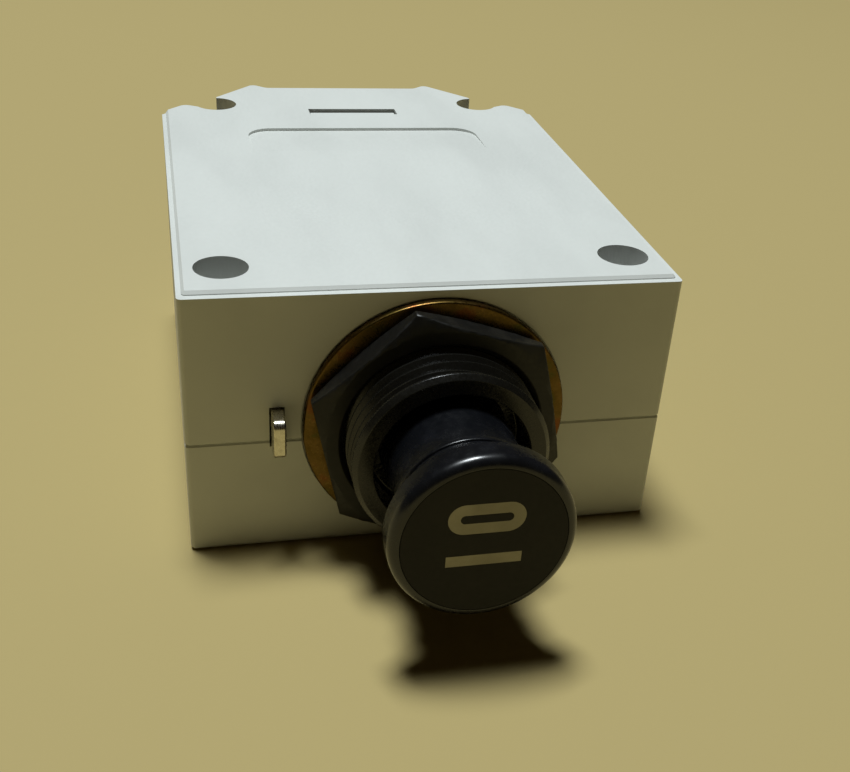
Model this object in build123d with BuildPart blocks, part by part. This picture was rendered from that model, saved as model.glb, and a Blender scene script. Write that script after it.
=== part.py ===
"""Push-pull thermal-magnetic circuit breaker with threadneck panel mounting.

Row frame, millimetres: the origin is on the threadneck's axis, in the plane of
the housing's front face, which lies against the panel. +X is to the right of
someone who faces the button, +Y runs back into the housing, +Z is up.
"""
import os
from math import radians, sin, sqrt

from build123d import *

# ---------------------------------------------------------------- housing
housing_width = 51.0
housing_height = 29.7
side_length = 57.0          # front face to the rear corners of the side walls
parting_height = 13.1       # lower shell's height
neck_height = 14.6          # threadneck axis above the bottom face
shell_wall = 2.2
front_wall = 2.6
back_wall = 2.0
rear_wall_setback = 1.6     # the back wall's outer face, from the rear corners
rim_step = 0.4              # the top plate's raised field stands this proud of its rim
rim_front = 0.8             # width of the rim along the front
rim_side = 0.5              # width of the rim along the sides
rim_slope = 0.3             # the field's edge slopes down to the rim
rim_corner_radius = 0.4
corner_radius = 0.5
base_edge_radius = 0.6      # round edge under the lower shell
parting_chamfer = 0.2       # breaks both shells' edges where they meet
cut_past = 1.0              # cuts run this far past the faces they open
fit_gap = 0.05              # between pieces fixed to each other
touch_gap = 0.1             # between pieces that only touch
tolerance = 0.01            # when picking edges and corners

# rear outline, measured back from the rear corners
ear_rise = 3.2              # the ears' rounded peaks
ear_inset = 3.0
ear_fillet = 1.0
ear_foot_x = 0.6            # where the ear's slope ends inside the notch, from its centre
ear_foot_y = 2.3
notch_radius = 2.73
notch_setback = 3.5
notch_inset = 7.2           # from the side face to the notch's centre
tongue_start = 6.7
tongue_inset = 7.5
nub_setback = 12.9          # corner of the outline that each nub's round replaces
nub_half_width = 12.6
nub_fillet = 0.8
tail_setback = 11.3         # the tongue's straight rear edge
tail_half_width = 10.8
tail_fillet = 1.3

# rivets that close the front of the housing
rivet_inset_x = 4.5
rivet_inset_y = 6.2
rivet_hole_radius = 2.73
rivet_recess_depth = 4.2
rivet_head_radius = 2.45
rivet_head_thickness = 0.9
rivet_shank_radius = 1.5
rivet_bore_radius = 0.8
rivet_boss_radius = 4.0

# snap hook that closes the rear
slot_length = 12.0
slot_width = 2.4
hook_thickness = 1.6
hook_clearance = 0.2
hook_root = 0.5             # the hook is sunk this far into the floor

# shallow marking field on the top plate
field_setback = 7.25        # its rear edge, from the rear corners
field_half_width = 15.0
field_depth = 0.35
field_length = 9.0
field_corner_radius = 3.0

# ---------------------------------------------------------------- threadneck, nut and washer
neck_radius = 10.0
neck_length = 8.9           # in front of the panel face
neck_lip = 2.1              # wall round the front bore
neck_bore_depth = 4.6
neck_chamfer = 0.5
relief_width = 0.7
relief_depth = 0.6
flange_margin = 1.5         # the square flange's overhang past the thread
flange_clearance = 0.2
flange_thickness = 2.5
flange_corner_radius = 2.5
washer_clearance = 0.2      # on the thread
washer_ring = 3.6           # from its bore to its rim
washer_thickness = 1.1
washer_seat_depth = 0.3
washer_seat_clearance = 0.15
washer_lift = 0.05          # lowest gap between stacked fixings
nut_wall = 2.0              # from the thread to the flats
nut_thickness = 2.75
nut_corner_angle = 102.5    # one corner's direction, from +X towards +Z
thread_clearance = 0.05
nut_countersink = 0.5
nut_face_chamfer = 1.0      # height of the corners' chamfer
nut_face_inset = 0.2
seal_section = 1.1
tab_gap = 1.75             # from the washer's seat to the locating tab
tab_thickness = 1.25
tab_height = 4.3
tab_reach = 3.0
tab_foot = 3.2
tab_foot_thickness = 1.8
tab_tip_radius = 0.9
tab_low = -2.0
tab_clearance = 0.15

# ---------------------------------------------------------------- button
cap_radius = 8.87
cap_front = 21.5            # cap's front face, in front of the panel face, when pulled out
cap_thickness = 3.0
cap_edge_radius = 1.0
cap_rear_chamfer = 0.3
flare_length = 3.2
flare_foot = 0.2            # above the stem where the flare ends
flare_radius = 3.4
step_ring_height = 0.4      # above the stem
step_ring_width = 0.8
stem_radius = 6.6
stem_clearance = 0.1
stem_tail = 1.6             # behind the clip
cap_rim = 1.07              # round the disc
disc_thickness = 0.9
disc_clearance = 0.05
mark_depth = 0.4
ring_mark_length = 7.2
ring_mark_height = 3.2
mark_stroke = 1.15
ring_mark_rise = 2.6
bar_mark_drop = 1.95
bar_mark_length = 7.1
rod_radius = 2.5
rod_grip = 13.9             # length held inside the cap
clip_thickness = 0.8
clip_gap = 0.4
clip_height = 1.8           # above the stem
clip_groove_depth = 0.8
clip_opening = 3.0
button_travel = 6.5

# ---------------------------------------------------------------- contacts
contact_gap = 5.0           # open distance between moving and fixed tips
contact_reach = 8.5         # tips' distance from the middle plane
tip_radius = 1.8
tip_thickness = 1.0
tip_chamfer = 0.3
bridge_thickness = 1.5
bridge_height = 4.4
bridge_half_length = 10.4
bridge_corner_radius = 1.0
carriage_half_width = 4.5
carriage_half_height = 4.5
carriage_head = 3.0
carriage_tail = 1.6
carriage_edge_radius = 0.4
rod_cover = 0.3             # between the rod's end and the window
carriage_gap = 2.0          # from the stem's tail to the carriage
window_half_height = 2.4
contact_spring_length = 5.3
contact_spring_radius = 2.0
contact_spring_wire = 0.6
foot_half_width = 3.2
foot_clearance = 0.4
foot_drop = 6.5
foot_length = 7.0
return_spring_radius = 2.3
return_spring_wire = 0.6
return_spring_drop = 8.0
post_half_width = 1.0
post_height = 2.3
post_length = 1.6
post_setback = 2.0          # from the window's rear edge
bus_thickness = 1.2
bus_clearance = 0.2
bus_lap = 0.5               # the load bar starts this far in front of the bimetal's clamp
bus_inner = 10.0            # inner face of the conductors along the sides
bus_half_height = 4.0
fixed_plate_thickness = 1.4
fixed_plate_inner = 6.4
fixed_plate_half_height = 3.0
line_leg_lap = 5.0          # behind the yoke's front
load_leg_lap = 3.0          # behind the bimetal's tip

# ---------------------------------------------------------------- terminals
chamber_half_width = 12.3
barrier_half = 0.9
chamber_front = 2.5         # from the back wall to the chambers' barrier
terminal_setback = 3.6      # terminal plate's front face behind the rear corners
terminal_thickness = 1.2
terminal_half_height = 4.5
terminal_inner = 2.0
terminal_screw_x = 6.3
screw_radius = 2.45
screw_head_radius = 4.0
screw_head_height = 2.5
screw_slot = 0.9
washer_plate_radius = 4.2
washer_plate_thickness = 1.0
terminal_nut_half = 3.3
terminal_nut_thickness = 2.2
seat_inner = 6.4
seat_clearance = 0.3        # to the conductors
terminal_hole_clearance = 0.25
washer_plate_clearance = 0.2
screw_slot_depth = 1.2

# ---------------------------------------------------------------- releases
pillar_gap = 1.0
pillar_length = 3.6
pillar_half_width = 3.2
pivot_radius = 1.0
pivot_clearance = 0.06
pivot_boss_radius = 2.6
pivot_boss_clearance = 2.5  # above the lever, for its spring
pin_bottom = 0.9            # height of the pin's foot
pin_hole_cover = 0.2        # left above the pin's hole
lever_clearance = 0.2
lever_bottom = 5.0
lever_thickness = 2.0
trip_spring_clearance = 0.4
trip_spring_wall = 0.7
trip_spring_wire = 0.5
trip_spring_height = 2.2
trip_leg_root = 1.0
trip_leg_inset = 4.0        # short of the bimetal
trip_leg_length = 6.0
leg_lap = 0.5               # the legs lie inside the turns' outline
lever_hub_radius = 2.8
lever_swing = 10.0
hook_arm_gap = 0.6
hook_arm_width = 1.8
hook_arm_length = 9.0
hook_arm_root = 1.5
hook_arm_nose = 0.9
arm_root = 1.0              # both side arms start this far from the middle
arm_root_half = 1.8
trip_arm_root = 1.0
trip_arm_setback = 0.4      # behind the bimetal's tip
trip_arm_width = 2.0
trip_arm_nose = 1.6
arm_rear_offset = 1.4       # the armature arm's edges, in front of the pivot
arm_front_offset = 3.0
arm_lap = 2.3               # past the armature's axis
bay_inner = 11.9            # side bays start beyond the conductors
bay_clearance = 0.4
magnet_height = 2.4
plunger_radius = 1.9
bobbin_clearance = 0.2
bobbin_wall = 0.6
bobbin_flange = 1.0
coil_inset = 0.3            # below the flanges
lead_inset = 1.0            # from the winding's ends to its leads
lead_width = 1.0
yoke_thickness = 1.2
yoke_clearance = 0.9        # to the back wall
yoke_inset = 0.8
saddle_length = 1.5
saddle_inset = 2.0
saddle_clearance = 0.2
core_length = 4.5
armature_travel = 2.88
armature_play = 0.4
armature_head_radius = 4.4
armature_head_thickness = 1.2
armature_neck_radius = 1.0
armature_spring_radius = 1.2
armature_spring_wire = 0.35
spring_pocket_depth = 4.0
spring_pocket_clearance = 0.15
plunger_nose = 0.4          # in front of the yoke
lever_to_yoke = 1.0
bimetal_thickness = 0.8
bimetal_height = 9.0
bimetal_low = -1.5
bimetal_offset = 3.7        # from the bay's inner edge
bimetal_clamp = 4.5
bimetal_trip_gap = 1.5
bimetal_setback = 2.4       # from the back wall to the strip's rear end
bimetal_reach = 1.5         # the strip's tip is this far in front of the lever's pivot
braid_radius = 0.7
braid_bend = 2.0
braid_setback = 1.5         # behind the strip's tip
braid_drop = 4.5            # below the fixed contact
braid_loop = 3.0            # beyond the strip
braid_top = 0.5             # height where it meets the strip
calibration_radius = 1.25
calibration_head_factor = 1.8
calibration_head_length = 1.4
calibration_slot = 0.8
calibration_gap = 2.2       # from the strip to the screw's post
calibration_post = 2.0
calibration_post_length = 5.0
calibration_touch = 0.15
splitter_count = 5
splitter_pitch = 1.9
splitter_thickness = 0.8
splitter_gap = 0.8          # to the armature's head
splitter_inset = 0.5
splitter_half_height = 4.0
board_thickness = 0.8
board_inset = 0.2
board_lap = 0.4             # past the end plates
guide_width = 1.4
barrier_thickness = 1.0
barrier_inset = 2.2         # from the conductor to the insulating barrier
barrier_setback = 2.0       # behind the pillar
barrier_gap = 0.4           # to the back wall
barrier_drop = 0.3          # below the lever

# ---------------------------------------------------------------- worked out
half_width = housing_width / 2
bottom = -neck_height
top = housing_height - neck_height
parting = parting_height - neck_height
inner_half = half_width - shell_wall
floor = bottom + shell_wall
roof = top - shell_wall
rear_wall_back = side_length - rear_wall_setback
rear_wall_front = rear_wall_back - back_wall
tail_end = side_length + nub_setback

neck_bore_radius = neck_radius - neck_lip
flange_half = neck_radius + flange_margin
washer_bore_radius = neck_radius + washer_clearance
washer_radius = washer_bore_radius + washer_ring
washer_seat_radius = washer_radius + washer_seat_clearance
tab_offset = washer_seat_radius + tab_gap + tab_thickness / 2
tab_left = -tab_offset - tab_thickness / 2
tab_right = -tab_offset + tab_thickness / 2
tab_top = tab_low + tab_height
washer_rear = washer_seat_depth - washer_lift
washer_front = washer_rear - washer_thickness
nut_rear = washer_front - washer_lift
nut_front = nut_rear - nut_thickness
nut_flat_radius = neck_radius + nut_wall
nut_corner_radius = 2 * nut_flat_radius / sqrt(3)
flange_front = front_wall + touch_gap
flange_rear = flange_front + flange_thickness

disc_radius = cap_radius - cap_rim
step_ring_radius = stem_radius + step_ring_height
clip_radius = stem_radius + clip_height
clip_groove_radius = stem_radius - clip_groove_depth
clip_front = flange_rear + clip_gap
clip_rear = clip_front + clip_thickness
stem_end = clip_rear + stem_tail
cap_rear = -cap_front + cap_thickness
rod_front = stem_end - rod_grip
flare_rear = cap_rear + flare_length
carriage_front = stem_end + carriage_gap
window_front = carriage_front + carriage_head
foot_rear = carriage_front + foot_length
bridge_front = window_front + contact_spring_length + 2 * touch_gap
bridge_rear = bridge_front + bridge_thickness
window_rear = bridge_rear + touch_gap
carriage_rear = window_rear + carriage_tail
fixed_tip_front = bridge_rear + tip_thickness + contact_gap + touch_gap
fixed_plate_front = fixed_tip_front + tip_thickness
fixed_plate_rear = fixed_plate_front + fixed_plate_thickness
pillar_front = carriage_rear + button_travel + pillar_gap
pillar_rear = pillar_front + pillar_length
pivot_y = (pillar_front + pillar_rear) / 2
bus_outer = bus_inner + bus_thickness
lever_top = lever_bottom + lever_thickness

bay_outer = inner_half - bay_clearance
bay_middle = (bay_inner + bay_outer) / 2
bobbin_radius = (bay_outer - bay_inner) / 2
arm_rear = pivot_y - arm_rear_offset
arm_front = pivot_y - arm_front_offset
head_rear = arm_front - armature_play
head_front = head_rear - armature_head_thickness
arm_tip = bay_middle + arm_lap
arm_swing = arm_tip * sin(radians(lever_swing))
yoke_front = arm_rear + arm_swing + lever_to_yoke
yoke_rear = rear_wall_front - yoke_clearance
bobbin_front = yoke_front + yoke_thickness + touch_gap
bobbin_rear = yoke_rear - yoke_thickness - touch_gap
yoke_low = magnet_height - bobbin_radius - touch_gap - yoke_thickness
core_front = bobbin_rear - core_length
plunger_rear = core_front - armature_travel - armature_play
splitter_rear = head_front - splitter_gap
bimetal_inner = bay_inner + bimetal_offset
bimetal_outer = bimetal_inner + bimetal_thickness
bimetal_rear = rear_wall_front - bimetal_setback
bimetal_tip = pivot_y - bimetal_reach
bimetal_root = bimetal_rear - bimetal_clamp
screw_y = bimetal_root - calibration_post_length / 2
screw_z = bimetal_low + bimetal_height / 2

terminal_front = side_length + terminal_setback
terminal_rear = terminal_front + terminal_thickness
terminal_nut_rear = terminal_front - touch_gap
terminal_nut_front = terminal_nut_rear - terminal_nut_thickness
screw_washer_front = terminal_rear + fit_gap
screw_head_front = screw_washer_front + washer_plate_thickness + fit_gap
screw_head_rear = screw_head_front + screw_head_height
bus_end = bimetal_root - bus_lap

os.makedirs("parts", exist_ok=True)


def front_plane(y):
    """Sketch plane that faces the user at depth y: sketch x is X, sketch y is Z."""
    return Plane.XZ.offset(-y)


def block(x, y, z, mode=Mode.ADD):
    """Box between two values on each axis."""
    with Locations(((x[0] + x[1]) / 2, (y[0] + y[1]) / 2, (z[0] + z[1]) / 2)):
        Box(abs(x[1] - x[0]), abs(y[1] - y[0]), abs(z[1] - z[0]), mode=mode)


def disc(radius, y, x=0, z=0, mode=Mode.ADD):
    """Cylinder along Y between two depths."""
    with Locations((x, (y[0] + y[1]) / 2, z)):
        Cylinder(radius, abs(y[1] - y[0]), rotation=(90, 0, 0), mode=mode)


def post(radius, z, x=0, y=0, mode=Mode.ADD):
    """Cylinder along Z between two heights."""
    with Locations((x, y, (z[0] + z[1]) / 2)):
        Cylinder(radius, abs(z[1] - z[0]), mode=mode)


def save(part, label):
    """Label a finished piece and write it as one STEP file."""
    part.label = label
    export_step(part, f"parts/{label}.step")


rivet_x = half_width - rivet_inset_x
notch_x = half_width - notch_inset
ear_x = half_width - ear_inset
tongue_x = half_width - tongue_inset
notch_y = side_length + notch_setback
outline_points = [
    (half_width, 0),
    (half_width, side_length),
    (ear_x, side_length + ear_rise),
    (notch_x + ear_foot_x, notch_y - ear_foot_y),
    (tongue_x, side_length + tongue_start),
    (nub_half_width, tail_end),
    (tail_half_width, side_length + tail_setback),
]


def plan_outline():
    """Outline of both shells in plan."""
    with BuildSketch(Plane.XY) as plan:
        with BuildLine():
            Polyline(*outline_points, *[(-x, y) for x, y in reversed(outline_points)], close=True)
        make_face()
        for depth, radius in (
            (0, corner_radius),
            (side_length + ear_rise, ear_fillet),
            (tail_end, nub_fillet),
            (side_length + tail_setback, tail_fillet),
        ):
            corners = plan.vertices().filter_by(lambda v: abs(v.Y - depth) < tolerance)
            fillet(corners, radius)
        with Locations((notch_x, notch_y), (-notch_x, notch_y)):
            Circle(notch_radius, mode=Mode.SUBTRACT)
    return plan.sketch


def raise_outline(low, high):
    """Extrude the plan outline between two heights."""
    extrude(plan_outline().moved(Location((0, 0, low))), amount=high - low)


def end_edges(solid, end):
    """Edges round a solid's lowest face, end 0, or its highest, end -1."""
    return solid.faces().filter_by(Axis.Z).sort_by(Axis.Z)[end].edges()


def shell_cavities(low, high):
    """Room for the mechanism, and the two terminal chambers behind the back wall."""
    block((-inner_half, inner_half), (front_wall, rear_wall_front), (low, high), Mode.SUBTRACT)
    block((-chamber_half_width, chamber_half_width), (rear_wall_back, tail_end + cut_past),
          (low, high), Mode.SUBTRACT)


def shell_inner_walls(low, high):
    """Rivet bosses, chamber barrier and terminal seats between two heights."""
    for side in (-1, 1):
        post(rivet_boss_radius, (low, high), side * rivet_x, rivet_inset_y)
        block((side * seat_inner, side * (bus_inner - seat_clearance)),
              (rear_wall_back, terminal_nut_front - touch_gap), (low, high))
    block((-barrier_half, barrier_half),
          (rear_wall_back + chamber_front, side_length + tail_setback), (low, high))


def shell_passages():
    """Neck hole, washer seat, tab slot, conductor slots and rivet holes."""
    disc(neck_radius + stem_clearance, (-cut_past, front_wall + cut_past), mode=Mode.SUBTRACT)
    disc(washer_seat_radius, (-cut_past, washer_seat_depth), mode=Mode.SUBTRACT)
    tab_z = (tab_low - tab_clearance, tab_top + tab_clearance)
    block((tab_left - tab_clearance, tab_right + tab_clearance), (-cut_past, front_wall + cut_past),
          tab_z, Mode.SUBTRACT)
    foot_right = tab_left + tab_foot + tab_clearance
    foot_y = (front_wall, front_wall + touch_gap + tab_foot_thickness + tab_clearance)
    block((tab_left - tab_clearance, foot_right), foot_y, tab_z, Mode.SUBTRACT)
    flange_room = flange_half + flange_clearance
    block((-flange_room, flange_room), (front_wall, flange_rear + flange_clearance),
          (-flange_room, flange_room), Mode.SUBTRACT)
    for side in (-1, 1):
        block((side * (bus_inner - bus_clearance), side * (bus_outer + bus_clearance)),
              (rear_wall_front - cut_past, rear_wall_back + cut_past),
              (-bus_half_height - bus_clearance, bus_half_height + bus_clearance), Mode.SUBTRACT)
        post(rivet_shank_radius + fit_gap, (bottom - cut_past, top + cut_past), side * rivet_x,
             rivet_inset_y, Mode.SUBTRACT)


# ---------------------------------------------------------------- upper shell
# room for the marking field: a pocket whose floor rises to nothing towards the front
with BuildPart() as marking_pocket:
    with BuildSketch(Plane.YZ.offset(-field_half_width)):
        with BuildLine():
            field_edge = side_length - field_setback
            Polyline((field_edge, top + cut_past), (field_edge, top - field_depth),
                     (field_edge - field_length, top), (field_edge - field_length, top + cut_past),
                     close=True)
        make_face()
    extrude(amount=2 * field_half_width)
    fillet(marking_pocket.edges().filter_by(Axis.Z).group_by(Axis.Y)[-1], field_corner_radius)

with BuildPart() as upper_body:
    raise_outline(parting, top - rim_step)
    chamfer(end_edges(upper_body, 0), parting_chamfer)

# the raised field leaves a rim along the front and the sides, and none at the rear
with BuildPart() as upper_field:
    raise_outline(top - rim_step, top)
    field_half = half_width - rim_side
    block((-field_half, field_half), (rim_front, tail_end + cut_past), (top - rim_step, top),
          Mode.INTERSECT)
    fillet(upper_field.edges().filter_by(Axis.Z).group_by(Axis.Y)[0], rim_corner_radius)
    rim_edges = end_edges(upper_field, -1).filter_by(
        lambda e: max((e @ 0).Y, (e @ 1).Y) < rim_front + rim_corner_radius + tolerance
        or min(abs((e @ 0).X), abs((e @ 1).X)) > field_half - tolerance
    )
    chamfer(rim_edges, rim_slope)

with BuildPart() as upper_shell:
    add(upper_body.part)
    add(upper_field.part)
    shell_cavities(parting - cut_past, roof)
    shell_inner_walls(parting, roof)
    post(pivot_boss_radius, (lever_top + pivot_boss_clearance, roof), 0, pivot_y)
    post(pivot_radius + fit_gap, (lever_top, roof - pin_hole_cover), 0, pivot_y, Mode.SUBTRACT)
    shell_passages()
    for side in (-1, 1):
        post(rivet_hole_radius, (top - rivet_recess_depth, top + cut_past), side * rivet_x, rivet_inset_y,
             Mode.SUBTRACT)
    block((-slot_length / 2, slot_length / 2),
          (side_length - slot_width / 2, side_length + slot_width / 2),
          (roof - cut_past, top + cut_past), Mode.SUBTRACT)
    add(marking_pocket.part, mode=Mode.SUBTRACT)
save(upper_shell.part, "upper_shell")

# ---------------------------------------------------------------- lower shell
with BuildPart() as lower_body:
    raise_outline(bottom, parting)
    chamfer(end_edges(lower_body, -1), parting_chamfer)
    # the ears and notches keep a sharp edge
    base_edges = end_edges(lower_body, 0).filter_by(
        lambda e: max((e @ 0).Y, (e @ 1).Y) < side_length + tolerance
        or min((e @ 0).Y, (e @ 1).Y) > side_length + tongue_start - tolerance
    )
    fillet(base_edges, base_edge_radius)

with BuildPart() as lower_shell:
    add(lower_body.part)
    shell_cavities(floor, parting + cut_past)
    shell_inner_walls(floor, parting)
    # guides for the carriage's foot, and the pillar under the trip lever
    for side in (-1, 1):
        guide = side * (foot_half_width + foot_clearance)
        block((guide, guide + side * guide_width), (stem_end + button_travel + clip_gap, pillar_front),
              (floor, -carriage_half_height - foot_clearance))
    block((-pillar_half_width, pillar_half_width), (pillar_front, pillar_rear),
          (floor, lever_bottom - lever_clearance))
    post(pivot_radius + fit_gap, (pin_bottom - touch_gap, lever_bottom), 0, pivot_y, Mode.SUBTRACT)
    # saddles under the magnet's yoke, and the post that holds the calibration screw
    for saddle in (yoke_front + saddle_inset, yoke_rear - saddle_inset - saddle_length):
        block((-bay_outer + yoke_inset, -bay_inner - yoke_inset), (saddle, saddle + saddle_length),
              (floor, yoke_low - saddle_clearance))
    block((bimetal_outer + calibration_gap, bimetal_outer + calibration_gap + calibration_post),
          (bimetal_root - calibration_post_length, bimetal_root),
          (floor, bimetal_low + bimetal_height - cut_past))
    with Locations((bimetal_outer + calibration_gap, screw_y, screw_z)):
        Cylinder(calibration_radius + fit_gap, 3 * calibration_post, rotation=(0, 90, 0),
                 mode=Mode.SUBTRACT)
    # snap hook that reaches through the slot in the upper shell
    hook_half = slot_length / 2 - hook_clearance
    hook_front = side_length - slot_width / 2 + hook_clearance
    block((-hook_half, hook_half), (hook_front, hook_front + hook_thickness),
          (floor - hook_root, top - field_depth))
    shell_passages()
    for side in (-1, 1):
        post(rivet_hole_radius, (bottom - cut_past, bottom + rivet_recess_depth), side * rivet_x,
             rivet_inset_y, Mode.SUBTRACT)
save(lower_shell.part, "lower_shell")

# ---------------------------------------------------------------- rivets
with BuildPart() as front_rivets:
    for side in (-1, 1):
        x = side * rivet_x
        high = top - rivet_recess_depth
        low = bottom + rivet_recess_depth
        post(rivet_shank_radius, (low, high), x, rivet_inset_y)
        post(rivet_head_radius, (high, high + rivet_head_thickness), x, rivet_inset_y)
        post(rivet_head_radius, (low - rivet_head_thickness, low), x, rivet_inset_y)
        post(rivet_bore_radius, (bottom, top), x, rivet_inset_y, Mode.SUBTRACT)
save(front_rivets.part, "front_rivets")

# ---------------------------------------------------------------- threadneck
relief_rear = nut_front - touch_gap
with BuildPart() as threadneck:
    disc(neck_radius, (-neck_length, flange_front))
    chamfer(threadneck.edges().group_by(Axis.Y)[0], neck_chamfer)
    with BuildSketch(front_plane(flange_rear)):
        RectangleRounded(2 * flange_half, 2 * flange_half, flange_corner_radius)
    extrude(amount=flange_thickness)
    disc(neck_bore_radius, (-neck_length - cut_past, -neck_length + neck_bore_depth), mode=Mode.SUBTRACT)
    disc(stem_radius + stem_clearance, (-neck_length, flange_rear + cut_past), mode=Mode.SUBTRACT)
    seat = (-neck_length + neck_bore_depth - touch_gap, -neck_length + neck_bore_depth + seal_section)
    disc(stem_radius + stem_clearance + seal_section, seat, mode=Mode.SUBTRACT)
    with BuildSketch(front_plane(relief_rear)):
        Circle(neck_radius + cut_past)
        Circle(neck_radius - relief_depth, mode=Mode.SUBTRACT)
    extrude(amount=relief_width, mode=Mode.SUBTRACT)
save(threadneck.part, "threadneck")

with BuildPart() as neck_seal:
    seal_rear = -neck_length + neck_bore_depth + seal_section
    disc(stem_radius + stem_clearance + seal_section, (seal_rear - seal_section, seal_rear))
    disc(stem_radius + fit_gap, (-neck_length, flange_rear), mode=Mode.SUBTRACT)
save(neck_seal.part, "neck_seal")

# ---------------------------------------------------------------- nut and washer
with BuildPart() as hex_nut:
    with BuildSketch(front_plane(nut_rear)):
        RegularPolygon(nut_corner_radius, 6, rotation=nut_corner_angle)
    extrude(amount=nut_thickness)
    # both faces are chamfered down to the flats' inscribed circle
    with BuildSketch(Plane.XY):
        with BuildLine():
            inner = nut_flat_radius - nut_face_inset
            outer = nut_corner_radius + nut_face_inset
            Polyline((0, nut_rear), (inner, nut_rear), (outer, nut_rear - nut_face_chamfer),
                     (outer, nut_front + nut_face_chamfer), (inner, nut_front), (0, nut_front),
                     close=True)
        make_face()
    revolve(axis=Axis.Y, mode=Mode.INTERSECT)
    disc(neck_radius + thread_clearance, (nut_front - cut_past, nut_rear + cut_past), mode=Mode.SUBTRACT)
    chamfer(hex_nut.edges().filter_by(GeomType.CIRCLE).group_by(Axis.Y)[0].sort_by(SortBy.RADIUS)[0],
            nut_countersink)
save(hex_nut.part, "hex_nut")

with BuildPart() as lock_washer:
    disc(washer_radius, (washer_front, washer_rear))
    disc(washer_bore_radius, (washer_front - cut_past, washer_rear + cut_past), mode=Mode.SUBTRACT)
save(lock_washer.part, "lock_washer")

# ---------------------------------------------------------------- locating tab
with BuildPart() as locating_tab:
    foot_front = front_wall + touch_gap
    foot_back = foot_front + tab_foot_thickness
    block((tab_left, tab_right), (-tab_reach, foot_back), (tab_low, tab_top))
    fillet(locating_tab.edges().filter_by(Axis.X).group_by(Axis.Y)[0], tab_tip_radius)
    block((tab_left, tab_left + tab_foot), (foot_front, foot_back), (tab_low, tab_top))
save(locating_tab.part, "locating_tab")

# ---------------------------------------------------------------- button
with BuildPart() as button_cap:
    with BuildSketch(Plane.XY):
        with BuildLine():
            ring_front = flare_rear
            ring_rear = ring_front + step_ring_width
            groove_front = clip_front - touch_gap
            groove_rear = clip_rear + touch_gap
            Polyline((0, -cap_front), (cap_radius - cap_edge_radius, -cap_front))
            RadiusArc((cap_radius - cap_edge_radius, -cap_front),
                      (cap_radius, -cap_front + cap_edge_radius), -cap_edge_radius)
            Line((cap_radius, -cap_front + cap_edge_radius), (cap_radius, cap_rear - cap_rear_chamfer))
            Line((cap_radius, cap_rear - cap_rear_chamfer), (cap_radius - cap_rear_chamfer, cap_rear))
            RadiusArc((cap_radius - cap_rear_chamfer, cap_rear),
                      (stem_radius + flare_foot, ring_front), flare_radius)
            Polyline((stem_radius + flare_foot, ring_front), (step_ring_radius, ring_front),
                     (step_ring_radius, ring_rear), (stem_radius, ring_rear),
                     (stem_radius, groove_front), (clip_groove_radius, groove_front),
                     (clip_groove_radius, groove_rear), (stem_radius, groove_rear),
                     (stem_radius, stem_end), (0, stem_end), (0, -cap_front))
        make_face()
    revolve(axis=Axis.Y)
    disc(disc_radius + disc_clearance, (-cap_front - cut_past, -cap_front + disc_thickness),
         mode=Mode.SUBTRACT)
    disc(rod_radius + fit_gap, (rod_front - touch_gap, stem_end + cut_past), mode=Mode.SUBTRACT)
save(button_cap.part, "button_cap")


def mark_profiles():
    """The ring mark and the bar mark, drawn in the active sketch."""
    with Locations((0, ring_mark_rise)):
        SlotOverall(ring_mark_length, ring_mark_height)
        SlotOverall(ring_mark_length - 2 * mark_stroke, ring_mark_height - 2 * mark_stroke,
                    mode=Mode.SUBTRACT)
    with Locations((0, -bar_mark_drop)):
        Rectangle(bar_mark_length, mark_stroke)


with BuildPart() as button_disc:
    disc(disc_radius, (-cap_front, -cap_front + disc_thickness))
    with BuildSketch(front_plane(-cap_front + mark_depth)):
        mark_profiles()
    extrude(amount=mark_depth, mode=Mode.SUBTRACT)
save(button_disc.part, "button_disc")

with BuildPart() as button_marks:
    with BuildSketch(front_plane(-cap_front + mark_depth)):
        mark_profiles()
    extrude(amount=mark_depth)
save(button_marks.part, "button_marks")

with BuildPart() as button_rod:
    disc(rod_radius, (rod_front, window_front - rod_cover - touch_gap))
save(button_rod.part, "button_rod")

with BuildPart() as retaining_clip:
    disc(clip_radius, (clip_front, clip_rear))
    disc(clip_groove_radius + fit_gap, (clip_front - cut_past, clip_rear + cut_past), mode=Mode.SUBTRACT)
    block((-clip_opening, clip_opening), (clip_front - cut_past, clip_rear + cut_past),
          (0, clip_radius + cut_past), Mode.SUBTRACT)
save(retaining_clip.part, "retaining_clip")

# ---------------------------------------------------------------- carriage and bridge
with BuildPart() as contact_carriage:
    block((-carriage_half_width, carriage_half_width), (carriage_front, carriage_rear),
          (-carriage_half_height, carriage_half_height))
    block((-foot_half_width, foot_half_width), (carriage_front, foot_rear),
          (-carriage_half_height - foot_drop, -carriage_half_height))
    fillet(contact_carriage.edges().filter_by(Axis.Y), carriage_edge_radius)
    block((-post_half_width, post_half_width),
          (window_rear - post_setback - post_length, window_rear - post_setback),
          (carriage_half_height, carriage_half_height + post_height))
    block((-carriage_half_width - cut_past, carriage_half_width + cut_past), (window_front, window_rear),
          (-window_half_height, window_half_height), Mode.SUBTRACT)
    disc(rod_radius + fit_gap, (carriage_front - cut_past, window_front - rod_cover), mode=Mode.SUBTRACT)
save(contact_carriage.part, "contact_carriage")

with BuildPart() as contact_bridge:
    block((-bridge_half_length, bridge_half_length), (bridge_front, bridge_rear),
          (-bridge_height / 2, bridge_height / 2))
    fillet(contact_bridge.edges().filter_by(Axis.Y), bridge_corner_radius)
save(contact_bridge.part, "contact_bridge")


def contact_tips(front):
    """A pair of domed silver tips whose flat backs lie towards the front or the rear."""
    for side in (-1, 1):
        disc(tip_radius, (front, front + tip_thickness), side * contact_reach)


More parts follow.
